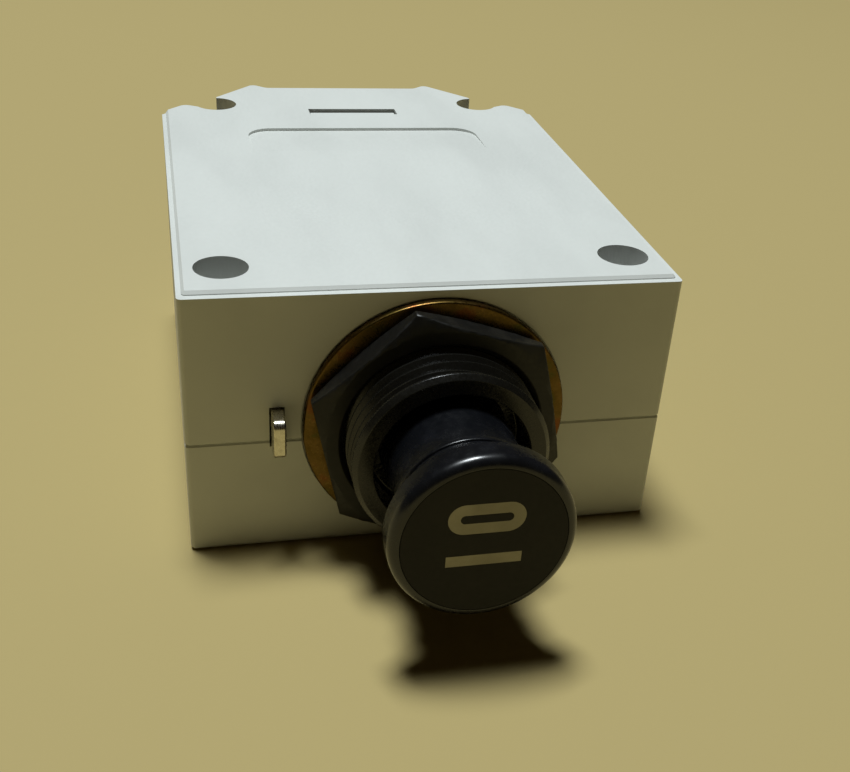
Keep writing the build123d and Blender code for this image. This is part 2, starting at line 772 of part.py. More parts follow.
with BuildPart() as bridge_tips:
    contact_tips(bridge_rear)
    chamfer(bridge_tips.edges().group_by(Axis.Y)[-1], tip_chamfer)
save(bridge_tips.part, "bridge_tips")

with BuildPart() as fixed_tips:
    contact_tips(fixed_tip_front)
    chamfer(fixed_tips.edges().group_by(Axis.Y)[0], tip_chamfer)
save(fixed_tips.part, "fixed_tips")


def spring_sleeve(radius, wire, y, x=0, z=0):
    """Closed sleeve that holds a coil spring's turns, along Y."""
    disc(radius, y, x, z)
    disc(radius - wire, (y[0] - cut_past, y[1] + cut_past), x, z, Mode.SUBTRACT)


with BuildPart() as contact_spring:
    spring_sleeve(contact_spring_radius, contact_spring_wire,
                  (window_front + touch_gap, bridge_front - touch_gap))
save(contact_spring.part, "contact_spring")

with BuildPart() as return_spring:
    spring_sleeve(return_spring_radius, return_spring_wire,
                  (foot_rear + touch_gap, pillar_front - touch_gap), z=-return_spring_drop)
save(return_spring.part, "return_spring")

# ---------------------------------------------------------------- fixed contacts and terminals
for label, side, leg_end in (("fixed_contact_line", -1, yoke_front + line_leg_lap),
                             ("fixed_contact_load", 1, bimetal_tip + load_leg_lap)):
    with BuildPart() as fixed_contact:
        block((side * fixed_plate_inner, side * bus_outer), (fixed_plate_front, fixed_plate_rear),
              (-fixed_plate_half_height, fixed_plate_half_height))
        block((side * bus_inner, side * bus_outer), (fixed_plate_front, leg_end),
              (-fixed_plate_half_height, fixed_plate_half_height))
    save(fixed_contact.part, label)

for label, side in (("terminal_line", -1), ("terminal_load", 1)):
    with BuildPart() as terminal:
        block((side * terminal_inner, side * bus_outer), (terminal_front, terminal_rear),
              (-terminal_half_height, terminal_half_height))
        block((side * bus_inner, side * bus_outer), (bus_end, terminal_rear),
              (-bus_half_height, bus_half_height))
        disc(screw_radius + terminal_hole_clearance, (terminal_front - cut_past, terminal_rear + cut_past),
             side * terminal_screw_x, mode=Mode.SUBTRACT)
    save(terminal.part, label)

with BuildPart() as terminal_screws:
    for side in (-1, 1):
        x = side * terminal_screw_x
        disc(screw_radius, (terminal_nut_front + touch_gap, screw_head_front + touch_gap), x)
        disc(screw_head_radius, (screw_head_front, screw_head_rear), x)
        block((x - screw_head_radius, x + screw_head_radius),
              (screw_head_rear - screw_slot_depth, screw_head_rear + cut_past),
              (-screw_slot / 2, screw_slot / 2), Mode.SUBTRACT)
save(terminal_screws.part, "terminal_screws")

with BuildPart() as terminal_washers:
    for side in (-1, 1):
        x = side * terminal_screw_x
        disc(washer_plate_radius, (screw_washer_front, screw_washer_front + washer_plate_thickness), x)
        disc(screw_radius + washer_plate_clearance,
             (screw_washer_front - cut_past, screw_head_front + cut_past), x, mode=Mode.SUBTRACT)
save(terminal_washers.part, "terminal_washers")

with BuildPart() as terminal_nuts:
    for side in (-1, 1):
        x = side * terminal_screw_x
        block((x - terminal_nut_half, x + terminal_nut_half), (terminal_nut_front, terminal_nut_rear),
              (-terminal_nut_half, terminal_nut_half))
        disc(screw_radius + fit_gap, (terminal_nut_front - cut_past, terminal_nut_rear + cut_past), x,
             mode=Mode.SUBTRACT)
save(terminal_nuts.part, "terminal_nuts")

# ---------------------------------------------------------------- magnetic release
magnet_x = -bay_middle
bobbin_bore = plunger_radius + bobbin_clearance
coil_inner = bobbin_bore + bobbin_wall
coil_radius = bobbin_radius - coil_inset
with BuildPart() as coil_bobbin:
    disc(coil_inner, (bobbin_front, bobbin_rear), magnet_x, magnet_height)
    disc(bobbin_radius, (bobbin_front, bobbin_front + bobbin_flange), magnet_x, magnet_height)
    disc(bobbin_radius, (bobbin_rear - bobbin_flange, bobbin_rear), magnet_x, magnet_height)
    disc(bobbin_bore, (bobbin_front - cut_past, bobbin_rear + cut_past), magnet_x, magnet_height,
         Mode.SUBTRACT)
save(coil_bobbin.part, "coil_bobbin")

with BuildPart() as magnet_coil:
    coil_front = bobbin_front + bobbin_flange + touch_gap
    coil_rear = bobbin_rear - bobbin_flange - touch_gap
    disc(coil_radius, (coil_front, coil_rear), magnet_x, magnet_height)
    # leads to the fixed contact and to the terminal
    lead_z = (magnet_height - lead_width / 2, magnet_height + lead_width / 2)
    for lead in (coil_front + lead_inset, coil_rear - lead_inset - lead_width):
        block((magnet_x, -bus_outer - fit_gap), (lead, lead + lead_width), lead_z)
    disc(coil_inner + fit_gap, (coil_front - cut_past, coil_rear + cut_past), magnet_x,
         magnet_height, Mode.SUBTRACT)
save(magnet_coil.part, "magnet_coil")

with BuildPart() as magnet_yoke:
    yoke_x = (magnet_x - bobbin_radius + yoke_inset, magnet_x + bobbin_radius - yoke_inset)
    block(yoke_x, (yoke_front, yoke_rear), (yoke_low, yoke_low + yoke_thickness))
    for plate in (yoke_front, yoke_rear - yoke_thickness):
        block(yoke_x, (plate, plate + yoke_thickness),
              (yoke_low, magnet_height + bobbin_radius - yoke_inset))
    disc(bobbin_bore, (yoke_front - cut_past, yoke_front + yoke_thickness + fit_gap), magnet_x,
         magnet_height, Mode.SUBTRACT)
    disc(armature_neck_radius + fit_gap,
         (yoke_rear - yoke_thickness - fit_gap, yoke_rear + cut_past), magnet_x, magnet_height,
         Mode.SUBTRACT)
save(magnet_yoke.part, "magnet_yoke")

with BuildPart() as magnet_core:
    disc(plunger_radius + touch_gap, (core_front, bobbin_rear), magnet_x, magnet_height)
    disc(armature_neck_radius, (bobbin_rear - touch_gap, yoke_rear), magnet_x, magnet_height)
save(magnet_core.part, "magnet_core")

spring_pocket = plunger_rear - spring_pocket_depth
with BuildPart() as armature:
    disc(armature_head_radius, (head_front, head_rear), magnet_x, magnet_height)
    disc(armature_neck_radius, (head_rear - touch_gap, yoke_front), magnet_x, magnet_height)
    disc(plunger_radius, (yoke_front - plunger_nose, plunger_rear), magnet_x, magnet_height)
    disc(armature_spring_radius + spring_pocket_clearance, (spring_pocket, plunger_rear + cut_past),
         magnet_x, magnet_height, Mode.SUBTRACT)
save(armature.part, "armature")

with BuildPart() as armature_spring:
    spring_sleeve(armature_spring_radius, armature_spring_wire,
                  (spring_pocket + touch_gap, core_front - touch_gap), magnet_x, magnet_height)
save(armature_spring.part, "armature_spring")

# ---------------------------------------------------------------- thermal release
with BuildPart() as bimetal_strip:
    block((bimetal_inner, bimetal_outer), (bimetal_tip, bimetal_rear),
          (bimetal_low, bimetal_low + bimetal_height))
save(bimetal_strip.part, "bimetal_strip")

with BuildPart() as bimetal_bracket:
    bracket_z = (bimetal_low, bus_half_height)
    foot_x = (bus_outer + fit_gap, bus_outer + fit_gap + bus_thickness)
    flange_x = (bimetal_inner - fit_gap - bus_thickness, bimetal_inner - fit_gap)
    block(foot_x, (bimetal_root, bimetal_rear), bracket_z)
    block(flange_x, (bimetal_root, bimetal_rear), bracket_z)
    block((foot_x[0], flange_x[1]), (bimetal_rear - bus_thickness, bimetal_rear), bracket_z)
save(bimetal_bracket.part, "bimetal_bracket")

with BuildPart() as calibration_screw:
    screw_tip = bimetal_outer + calibration_touch
    screw_end = bimetal_outer + calibration_gap + calibration_post + touch_gap
    with Locations(((screw_tip + screw_end) / 2, screw_y, screw_z)):
        Cylinder(calibration_radius, screw_end - screw_tip, rotation=(0, 90, 0))
    head_middle = screw_end + calibration_head_length / 2
    head_radius = calibration_radius * calibration_head_factor
    with Locations((head_middle, screw_y, screw_z)):
        Cylinder(head_radius, calibration_head_length, rotation=(0, 90, 0))
    block((head_middle, head_middle + calibration_head_length),
          (screw_y - calibration_slot / 2, screw_y + calibration_slot / 2),
          (screw_z - head_radius - cut_past, screw_z + head_radius + cut_past), Mode.SUBTRACT)
save(calibration_screw.part, "calibration_screw")

with BuildPart() as flexible_braid:
    braid_y = bimetal_tip + braid_setback
    braid_x = (bus_inner + bus_outer) / 2
    braid_low = -fixed_plate_half_height - braid_drop
    braid_out = bimetal_outer + braid_loop
    braid_start = -fixed_plate_half_height - fit_gap
    with BuildLine() as braid_route:
        FilletPolyline((braid_x, braid_y, braid_start), (braid_x, braid_y, braid_low),
                       (braid_out, braid_y, braid_low), (braid_out, braid_y, braid_top),
                       (bimetal_outer + touch_gap, braid_y, braid_top), radius=[braid_bend] * 3)
    with BuildSketch(Plane((braid_x, braid_y, braid_start), z_dir=(0, 0, -1))):
        Circle(braid_radius)
    sweep(path=braid_route.line)
save(flexible_braid.part, "flexible_braid")

# ---------------------------------------------------------------- trip lever
with BuildPart() as trip_lever:
    with BuildSketch(Plane.XY.offset(lever_bottom)):
        with Locations((0, pivot_y)):
            Circle(lever_hub_radius)
        # arm to the armature on the left
        with BuildLine():
            Polyline((-arm_root, pivot_y + arm_root_half), (-arm_root, pivot_y - arm_root_half),
                     (-bay_middle + arm_lap, arm_front),
                     (-arm_tip, arm_front), (-arm_tip, arm_rear), (-bay_middle + arm_lap, arm_rear),
                     close=True)
        make_face()
        # arm to the bimetal on the right
        with BuildLine():
            right_end = bimetal_inner - bimetal_trip_gap
            trip_front = bimetal_tip + trip_arm_setback
            trip_rear = trip_front + trip_arm_width
            Polyline((arm_root, pivot_y + arm_root_half), (arm_root, pivot_y - trip_arm_root),
                     (right_end, trip_front), (right_end, trip_rear),
                     (right_end - trip_arm_nose, trip_rear), close=True)
        make_face()
        # latch arm beside the carriage's post
        with BuildLine():
            latch_x = -post_half_width - hook_arm_gap
            latch_end = pivot_y - hook_arm_length
            Polyline((latch_x, pivot_y - hook_arm_root), (latch_x, latch_end + hook_arm_nose),
                     (latch_x - hook_arm_nose, latch_end), (latch_x - hook_arm_width, latch_end),
                     (latch_x - hook_arm_width, pivot_y), close=True)
        make_face()
    extrude(amount=lever_thickness)
    post(pivot_radius + pivot_clearance, (lever_bottom - cut_past, lever_top + cut_past), 0, pivot_y,
         Mode.SUBTRACT)
save(trip_lever.part, "trip_lever")

with BuildPart() as trip_lever_pin:
    post(pivot_radius, (pin_bottom, roof - pin_hole_cover - touch_gap), 0, pivot_y)
save(trip_lever_pin.part, "trip_lever_pin")

with BuildPart() as trip_spring:
    turns_inner = pivot_radius + trip_spring_clearance
    turns_outer = turns_inner + trip_spring_wall
    low = lever_top + touch_gap
    high = low + trip_spring_height
    post(turns_outer, (low, high), 0, pivot_y)
    # one leg bears on the housing, the other on the lever
    leg = (turns_outer - trip_spring_wire - leg_lap, turns_outer - leg_lap)
    block((trip_leg_root, bimetal_inner - trip_leg_inset), (pivot_y + leg[0], pivot_y + leg[1]),
          (low, low + trip_spring_wire))
    block((-leg[1], -leg[0]), (pivot_y - trip_leg_length, pivot_y - trip_leg_root),
          (high - trip_spring_wire, high))
    post(turns_inner, (lever_top, high + cut_past), 0, pivot_y, Mode.SUBTRACT)
save(trip_spring.part, "trip_spring")

# ---------------------------------------------------------------- arc chutes and barrier
splitter_front = splitter_rear - (splitter_count - 1) * splitter_pitch - splitter_thickness
with BuildPart() as arc_splitters:
    for side in (-1, 1):
        for number in range(splitter_count):
            front = splitter_front + number * splitter_pitch
            block((side * (bay_inner + splitter_inset), side * (bay_outer - splitter_inset)),
                  (front, front + splitter_thickness), (-splitter_half_height, splitter_half_height))
save(arc_splitters.part, "arc_splitters")

with BuildPart() as arc_boards:
    for side in (-1, 1):
        for level in (-1, 1):
            inner = level * (splitter_half_height + fit_gap)
            block((side * (bay_inner + board_inset), side * (bay_outer - board_inset)),
                  (splitter_front - board_lap, splitter_rear + board_lap),
                  (inner, inner + level * board_thickness))
save(arc_boards.part, "arc_boards")

with BuildPart() as insulating_barrier:
    barrier_x = -bus_inner + barrier_inset
    block((barrier_x, barrier_x + barrier_thickness),
          (pillar_rear + barrier_setback, rear_wall_front - barrier_gap),
          (floor + touch_gap, lever_bottom - barrier_drop))
save(insulating_barrier.part, "insulating_barrier")
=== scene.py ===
"""Push-pull circuit breaker: the looks of every piece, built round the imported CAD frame.

All lengths are in metres in the row frame: the origin is on the threadneck's axis in
the plane of the housing's front face, +X right, +Y back into the housing, +Z up.
"""
from math import cos, pi, radians, sin, sqrt, tan

import bmesh
import bpy
from mathutils import Matrix, Vector


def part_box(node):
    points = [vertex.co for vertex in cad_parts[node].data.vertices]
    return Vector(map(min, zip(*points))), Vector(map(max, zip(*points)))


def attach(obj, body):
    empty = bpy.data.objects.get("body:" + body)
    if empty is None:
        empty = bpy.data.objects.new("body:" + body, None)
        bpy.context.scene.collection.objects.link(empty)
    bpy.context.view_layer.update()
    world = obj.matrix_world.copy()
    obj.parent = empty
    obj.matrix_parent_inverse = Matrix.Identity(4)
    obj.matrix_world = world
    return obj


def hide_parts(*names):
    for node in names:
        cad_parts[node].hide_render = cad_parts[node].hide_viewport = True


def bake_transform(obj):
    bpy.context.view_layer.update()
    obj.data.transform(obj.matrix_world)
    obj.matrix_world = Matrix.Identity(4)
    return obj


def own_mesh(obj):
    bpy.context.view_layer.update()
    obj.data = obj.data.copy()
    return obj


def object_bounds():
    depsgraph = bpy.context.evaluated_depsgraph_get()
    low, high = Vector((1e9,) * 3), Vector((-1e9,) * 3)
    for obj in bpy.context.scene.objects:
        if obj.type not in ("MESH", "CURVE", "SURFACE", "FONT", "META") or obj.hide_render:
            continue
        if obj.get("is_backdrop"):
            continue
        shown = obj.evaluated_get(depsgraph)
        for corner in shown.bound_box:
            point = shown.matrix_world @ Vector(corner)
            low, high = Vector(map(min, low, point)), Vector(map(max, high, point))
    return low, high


bl_info = {
    "name": "Push-Pull Circuit Breaker",
    "version": (1, 0, 0),
    "blender": (4, 5, 0),
    "location": "View3D > Sidebar > Breaker",
    "description": "Builds a threadneck circuit breaker, its mechanism and a plain stage",
    "category": "Add Mesh",
}

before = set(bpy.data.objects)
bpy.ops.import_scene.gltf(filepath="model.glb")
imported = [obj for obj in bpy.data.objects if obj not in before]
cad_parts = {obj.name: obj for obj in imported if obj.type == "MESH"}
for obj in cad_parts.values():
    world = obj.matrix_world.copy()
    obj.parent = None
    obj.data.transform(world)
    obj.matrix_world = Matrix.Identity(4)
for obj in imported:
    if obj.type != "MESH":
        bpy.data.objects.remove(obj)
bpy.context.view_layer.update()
# each node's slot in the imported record, which its packed material is named after
SLOTS = {node: made.data.materials[0].name for node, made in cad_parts.items()}
MM = 0.001
UP, BACK = (0, 0, 1), (0, 1, 0)


def linear(code):
    """Linear RGBA of an sRGB hex colour."""
    channels = [int(code[i:i + 2], 16) / 255 for i in (1, 3, 5)]
    return (*[c / 12.92 if c <= 0.04045 else ((c + 0.055) / 1.055) ** 2.4 for c in channels], 1.0)


def add(tree, kind, inputs=None, **settings):
    """Add a node with its settings, and its inputs' values or links."""
    made = tree.nodes.new(kind)
    for key, value in settings.items():
        setattr(made, key, value)
    for key, value in (inputs or {}).items():
        if isinstance(value, bpy.types.NodeSocket):
            tree.links.new(value, made.inputs[key])
        else:
            made.inputs[key].default_value = value
    return made


# ------------------------------------------------------------------ settings
def length(name, description, default):
    return bpy.props.FloatProperty(
        name=name, description=description, default=default, min=0, unit="LENGTH",
        subtype="DISTANCE", precision=5)


def colour(name, description, code):
    return bpy.props.FloatVectorProperty(
        name=name, description=description, default=linear(code), size=4, min=0, max=1,
        subtype="COLOR")


class HousingSettings(bpy.types.PropertyGroup):
    edge: length("Edge Round", "Rounding of the moulded edges", 0.1 * MM)
    rivet_bore: length("Rivet Bore", "Radius of the hole down each rivet", 0.8 * MM)
    rivet_shank: length("Rivet Shank", "Radius of each rivet's shank", 1.5 * MM)
    rivet_head: length("Rivet Head", "Thickness of each rolled rivet head", 0.9 * MM)
    plastic: colour("Housing Plastic", "Light grey moulding compound", "#D3D5D0")


class MountSettings(bpy.types.PropertyGroup):
    pitch: length("Thread Pitch", "Pitch of the neck's metric thread", 1.5 * MM)
    thread_depth: length("Thread Depth", "From crest to root", 0.85 * MM)
    bore: length("Front Bore", "Radius of the bore round the button", 7.9 * MM)
    bore_depth: length("Bore Depth", "Depth of the front bore", 4.6 * MM)
    stem_bore: length("Stem Bore", "Radius of the bore that guides the stem", 6.7 * MM)
    neck_colour: colour("Neck Nylon", "Black of the neck and nut", "#141310")
    # the washer's default colour is its yellow zinc darkened to paint the shade that falls on it
    washer_colour_with_painted_shade: colour("Washer Passivation and Painted Shade", "Yellow zinc passivation, darkened as painted shade", "#5A4822")


class ButtonSettings(bpy.types.PropertyGroup):
    stem: length("Stem Radius", "Radius of the button's stem", 6.6 * MM)
    cap_height: length("Cap Height", "Length of the cap's straight rim", 3.0 * MM)
    edge: length("Cap Edge", "Rounding of the cap's front edge", 1.0 * MM)
    flare: length("Flare Length", "From the cap down to the stem", 3.2 * MM)
    ring: length("Step Ring", "Radius of the step behind the flare", 7.0 * MM)
    disc: length("Disc Radius", "Radius of the marked disc", 7.8 * MM)
    cap_colour: colour("Button Plastic", "Glossy black of the button", "#0E0F12")


class ContactSettings(bpy.types.PropertyGroup):
    return_wire: length("Return Spring Wire", "Wire diameter", 0.5 * MM)
    contact_wire: length("Contact Spring Wire", "Wire diameter", 0.5 * MM)
    return_turns: bpy.props.FloatProperty(
        name="Return Spring Turns", description="Turns with the two closed ends", default=9)
    contact_turns: bpy.props.FloatProperty(
        name="Contact Spring Turns", description="Turns with the two closed ends", default=6)


class TerminalSettings(bpy.types.PropertyGroup):
    pitch: length("Screw Pitch", "Pitch of the terminal screws", 0.8 * MM)
    slot: length("Screw Slot", "Width of the driver slot", 0.9 * MM)


class ReleaseSettings(bpy.types.PropertyGroup):
    winding_wire: length("Winding Wire", "Diameter of the enamelled wire", 0.62 * MM)
    strands: bpy.props.IntProperty(
        name="Braid Strands", description="Strands laid round the braid", default=7, min=2)
    strand: length("Strand Radius", "Radius of one strand", 0.2 * MM)


class StageSettings(bpy.types.PropertyGroup):
    floor: colour("Floor", "Plain pale floor", "#AD9B66")
    key: bpy.props.FloatProperty(
        name="Key Light", description="Power of the soft light overhead", default=27.5,
        unit="POWER")
    fill: bpy.props.FloatProperty(
        name="Sky", description="Strength of the plain surroundings", default=0.026)


class BreakerSettings(bpy.types.PropertyGroup):
    housing: bpy.props.PointerProperty(type=HousingSettings)
    mount: bpy.props.PointerProperty(type=MountSettings)
    button: bpy.props.PointerProperty(type=ButtonSettings)
    contacts: bpy.props.PointerProperty(type=ContactSettings)
    terminals: bpy.props.PointerProperty(type=TerminalSettings)
    release: bpy.props.PointerProperty(type=ReleaseSettings)
    stage: bpy.props.PointerProperty(type=StageSettings)


# ------------------------------------------------------------------ meshes
def link(name, mesh):
    """New object at the origin for a mesh."""
    made = bpy.data.objects.new(name, mesh)
    bpy.context.scene.collection.objects.link(made)
    return made


def from_bmesh(name, work, sharp=35):
    """Object for a finished bmesh, smooth where faces meet at less than sharp degrees."""
    bmesh.ops.remove_doubles(work, verts=work.verts, dist=1e-7)
    mesh = bpy.data.meshes.new(name)
    work.to_mesh(mesh)
    work.free()
    for face in mesh.polygons:
        face.use_smooth = True
    mesh.set_sharp_from_angle(angle=radians(sharp))
    return link(name, mesh)


def bevelled(made, width, segments=2, angle=30):
    """Round a piece's edges between faces that have room, and keep its flats flat."""
    work = bmesh.new()
    work.from_mesh(made.data)
    weight = work.edges.layers.float.new("bevel_weight_edge")
    for side in work.edges:
        room = min(face.calc_area() for face in side.link_faces) / max(side.calc_length(), 1e-9)
        if side.calc_face_angle(0) > radians(angle) and room > 2.2 * width:
            side[weight] = 1
    work.to_mesh(made.data)
    work.free()
    edge = made.modifiers.new("edges", "BEVEL")
    edge.width = width
    edge.segments = segments
    edge.limit_method = "WEIGHT"
    edge.use_clamp_overlap = False
    flats = made.modifiers.new("flats", "WEIGHTED_NORMAL")
    flats.weight = 100
    flats.keep_sharp = True
    return made


def copy_of(node, name, width=0, segments=2):
    """Copy of a CAD node with its loose triangles merged, and its edges rounded when a width is given.
    """
    work = bmesh.new()
    work.from_mesh(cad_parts[node].data)
    bmesh.ops.remove_doubles(work, verts=work.verts, dist=2e-6)
    if width:
        bmesh.ops.dissolve_limit(work, angle_limit=radians(0.5), verts=work.verts,
                                 edges=work.edges)
        return bevelled(from_bmesh(name, work), width, segments)
    made = from_bmesh(name, work)
    # its fine facets are left flat, because smoothing would bend the light on its flats
    made.data.shade_flat()
    return made


def rounded(points, steps=5):
    """Profile with its corners rounded: points are (y, r) or (y, r, corner radius)."""
    out = []
    count = len(points)
    for i, point in enumerate(points):
        here = Vector(point[:2])
        radius = point[2] if len(point) > 2 else 0
        if not radius:
            out.append(here)
            continue
        before = (Vector(points[i - 1][:2]) - here).normalized()
        after = (Vector(points[(i + 1) % count][:2]) - here).normalized()
        half = before.angle(after) / 2
        cut = radius / tan(half)
        centre = here + (before + after).normalized() * radius / sin(half)
        start, end = here + before * cut - centre, here + after * cut - centre
        turn = start.angle_signed(end)
        for k in range(steps + 1):
            share = -turn * k / steps
            out.append(centre + Vector((start.x * cos(share) - start.y * sin(share),
                                        start.x * sin(share) + start.y * cos(share))))
    return out


def turned(work, profile, x=0.0, z=0.0, steps=96):
    """Turn a closed profile of (y, r) points about an axis along Y, and point it outwards."""
    rings = []
    for y, r in profile:
        if r < 1e-7:
            rings.append([work.verts.new((x, y, z))])
        else:
            angles = [2 * pi * k / steps for k in range(steps)]
            rings.append([work.verts.new((x + r * cos(a), y, z + r * sin(a))) for a in angles])
    faces = []
    for one, two in zip(rings, rings[1:] + rings[:1]):
        if len(one) == 1 and len(two) == 1:
            continue
        for k in range(steps):
            n = (k + 1) % steps
            corners = [one[k % len(one)], two[k % len(two)], two[n % len(two)], one[n % len(one)]]
            faces.append(work.faces.new(list(dict.fromkeys(corners))))
    bmesh.ops.recalc_face_normals(work, faces=faces)
    return faces


def lathe(name, profile, x=0.0, z=0.0, steps=96, sharp=35):
    """One turned piece."""
    work = bmesh.new()
    turned(work, profile, x, z, steps)
    return from_bmesh(name, work, sharp)


def joined(name, parts, sharp=35):
    """One plain mesh from several objects, which are removed."""
    depsgraph = bpy.context.evaluated_depsgraph_get()
    work = bmesh.new()
    for part in parts:
        mesh = bpy.data.meshes.new_from_object(part.evaluated_get(depsgraph))
        work.from_mesh(mesh)
        bpy.data.meshes.remove(mesh)
        bpy.data.objects.remove(part)
    return from_bmesh(name, work, sharp)


# ------------------------------------------------------------------ node trees that make shapes
def start_tree(name, sizes):
    """Geometry tree with named inputs, given as (name, socket kind)."""
    tree = bpy.data.node_groups.new(name, "GeometryNodeTree")
    tree.interface.new_socket("Geometry", in_out="OUTPUT", socket_type="NodeSocketGeometry")
    for label, kind in sizes:
        tree.interface.new_socket(label, in_out="INPUT", socket_type="NodeSocket" + kind)
    return tree, add(tree, "NodeGroupInput").outputs


def end_tree(tree, shape, values):
    """Realize the instances, set the material and close the tree."""
    real = add(tree, "GeometryNodeRealizeInstances", {"Geometry": shape})
    smooth = add(tree, "GeometryNodeSetShadeSmooth", {"Geometry": real.outputs[0]})
    painted = add(tree, "GeometryNodeSetMaterial",
                  {"Geometry": smooth.outputs[0], "Material": values["Material"]})
    add(tree, "NodeGroupOutput", {"Geometry": painted.outputs[0]})
    return tree


def calc(tree, operation, *values):
    """Result of one Math node."""
    return add(tree, "ShaderNodeMath", dict(enumerate(values)), operation=operation).outputs[0]


def grown(name, tree, slot, **values):
    """Plain mesh that a tree gives for these values of its named inputs."""
    carrier = link(name, bpy.data.meshes.new(name))
    maker = carrier.modifiers.new("shape", "NODES")
    maker.node_group = tree
    sockets = {s.name: s.identifier for s in tree.interface.items_tree if s.in_out == "INPUT"}
    values["Material"] = material_of(slot)
    for label, value in values.items():
        maker[sockets[label.replace("_", " ")]] = value
    depsgraph = bpy.context.evaluated_depsgraph_get()
    mesh = bpy.data.meshes.new_from_object(carrier.evaluated_get(depsgraph))
    carrier.modifiers.remove(maker)
    carrier.data = mesh
    mesh.name = name
    if not mesh.polygons:
        raise RuntimeError(f"{name}: its node tree gave no faces")
    mesh.set_sharp_from_angle(angle=radians(40))
    return carrier


def coil_tree():
    """Spring along +Y whose first and last turns lie closed, one wire's width apart."""
    tree, size = start_tree("closed-end coil", [
        ("Start", "Vector"), ("Length", "Float"), ("Radius", "Float"), ("Wire", "Float"),
        ("Turns", "Float"), ("Lay", "Vector"), ("Material", "Material")])
    line = add(tree, "GeometryNodeCurvePrimitiveLine")
    count = calc(tree, "MULTIPLY", size["Turns"], 28.0)
    points = add(tree, "GeometryNodeResampleCurve", {"Curve": line.outputs[0], "Count": count})
    share = add(tree, "GeometryNodeSplineParameter").outputs["Factor"]
    turn = calc(tree, "MULTIPLY", share, size["Turns"])
    angle = calc(tree, "MULTIPLY", turn, 2 * pi)
    last = calc(tree, "SUBTRACT", size["Turns"], 1.0)
    free = calc(tree, "SUBTRACT", size["Length"], calc(tree, "MULTIPLY", size["Wire"], 3.0))
    climb = add(tree, "ShaderNodeMapRange", {
        "Value": turn, "From Min": 1.0, "From Max": last, "To Min": 0.0, "To Max": free})
    head = add(tree, "ShaderNodeMapRange", {"Value": turn, "To Max": size["Wire"]})
    tail = add(tree, "ShaderNodeMapRange", {
        "Value": turn, "From Min": last, "From Max": size["Turns"], "To Max": size["Wire"]})
    ends = calc(tree, "ADD", head.outputs[0], tail.outputs[0])
    rise = calc(tree, "ADD", climb.outputs[0], ends)
    half = calc(tree, "MULTIPLY", size["Wire"], 0.5)
    place = add(tree, "ShaderNodeCombineXYZ", {
        "X": calc(tree, "MULTIPLY", calc(tree, "COSINE", angle), size["Radius"]),
        "Y": calc(tree, "ADD", rise, half),
        "Z": calc(tree, "MULTIPLY", calc(tree, "SINE", angle), size["Radius"])})
    bent = add(tree, "GeometryNodeSetPosition",
               {"Geometry": points.outputs[0], "Position": place.outputs[0]})
    wire = add(tree, "GeometryNodeCurvePrimitiveCircle", {"Resolution": 10, "Radius": half})
    solid = add(tree, "GeometryNodeCurveToMesh",
                {"Curve": bent.outputs[0], "Profile Curve": wire.outputs[0], "Fill Caps": True})
    moved = add(tree, "GeometryNodeTransform", {
        "Geometry": solid.outputs[0], "Translation": size["Start"], "Rotation": size["Lay"]})
    return end_tree(tree, moved.outputs[0], size)


def thread_tree():
    """Screw thread along +Y: a truncated ridge on a helix that fades out at both ends."""
    tree, size = start_tree("screw thread", [
        ("Start", "Vector"), ("Length", "Float"), ("Root", "Float"), ("Depth", "Float"),
        ("Pitch", "Float"), ("Material", "Material")])
    turns = calc(tree, "DIVIDE", size["Length"], size["Pitch"])
    count = calc(tree, "ROUND", calc(tree, "MULTIPLY", turns, 72.0))
    grid = add(tree, "GeometryNodeMeshGrid", {"Vertices X": 5, "Vertices Y": count})
    index = add(tree, "GeometryNodeInputIndex").outputs[0]
    corner = calc(tree, "FLOOR", calc(tree, "DIVIDE", calc(tree, "ADD", index, 0.5), count))
    along = calc(tree, "SUBTRACT", index, calc(tree, "MULTIPLY", corner, count))
    share = calc(tree, "DIVIDE", along, calc(tree, "SUBTRACT", count, 1.0))
    turn = calc(tree, "MULTIPLY", share, turns)
    angle = calc(tree, "MULTIPLY", turn, 2 * pi)
    nearest = calc(tree, "MINIMUM", turn, calc(tree, "SUBTRACT", turns, turn))
    fade = add(tree, "ShaderNodeMapRange", {"Value": nearest, "From Max": 0.3}).outputs[0]
    # the ridge's five corners: out along one flank, over the crest, back down, and closed
    out = add(tree, "GeometryNodeIndexSwitch", {"Index": corner}, data_type="FLOAT")
    side = add(tree, "GeometryNodeIndexSwitch", {"Index": corner}, data_type="FLOAT")
    for switch, corners in ((out, (0, 1, 1, 0, 0)), (side, (-0.42, -0.07, 0.07, 0.42, -0.42))):
        for k, value in enumerate(corners):
            if k > 1:
                switch.index_switch_items.new()
            switch.inputs[k + 1].default_value = value
    lift = calc(tree, "MULTIPLY", out.outputs[0], calc(tree, "MULTIPLY", size["Depth"], fade))
    radius = calc(tree, "ADD", size["Root"], lift)
    shift = calc(tree, "MULTIPLY", side.outputs[0], calc(tree, "MULTIPLY", size["Pitch"], fade))
    place = add(tree, "ShaderNodeCombineXYZ", {
        "X": calc(tree, "MULTIPLY", calc(tree, "COSINE", angle), radius),
        "Y": calc(tree, "ADD", calc(tree, "MULTIPLY", turn, size["Pitch"]), shift),
        "Z": calc(tree, "MULTIPLY", calc(tree, "SINE", angle), radius)})
    bent = add(tree, "GeometryNodeSetPosition",
               {"Geometry": grid.outputs[0], "Position": place.outputs[0]})
    closed = add(tree, "GeometryNodeMergeByDistance",
                 {"Geometry": bent.outputs[0], "Distance": 1e-6})
    moved = add(tree, "GeometryNodeTransform",
                {"Geometry": closed.outputs[0], "Translation": size["Start"]})
    return end_tree(tree, moved.outputs[0], size)


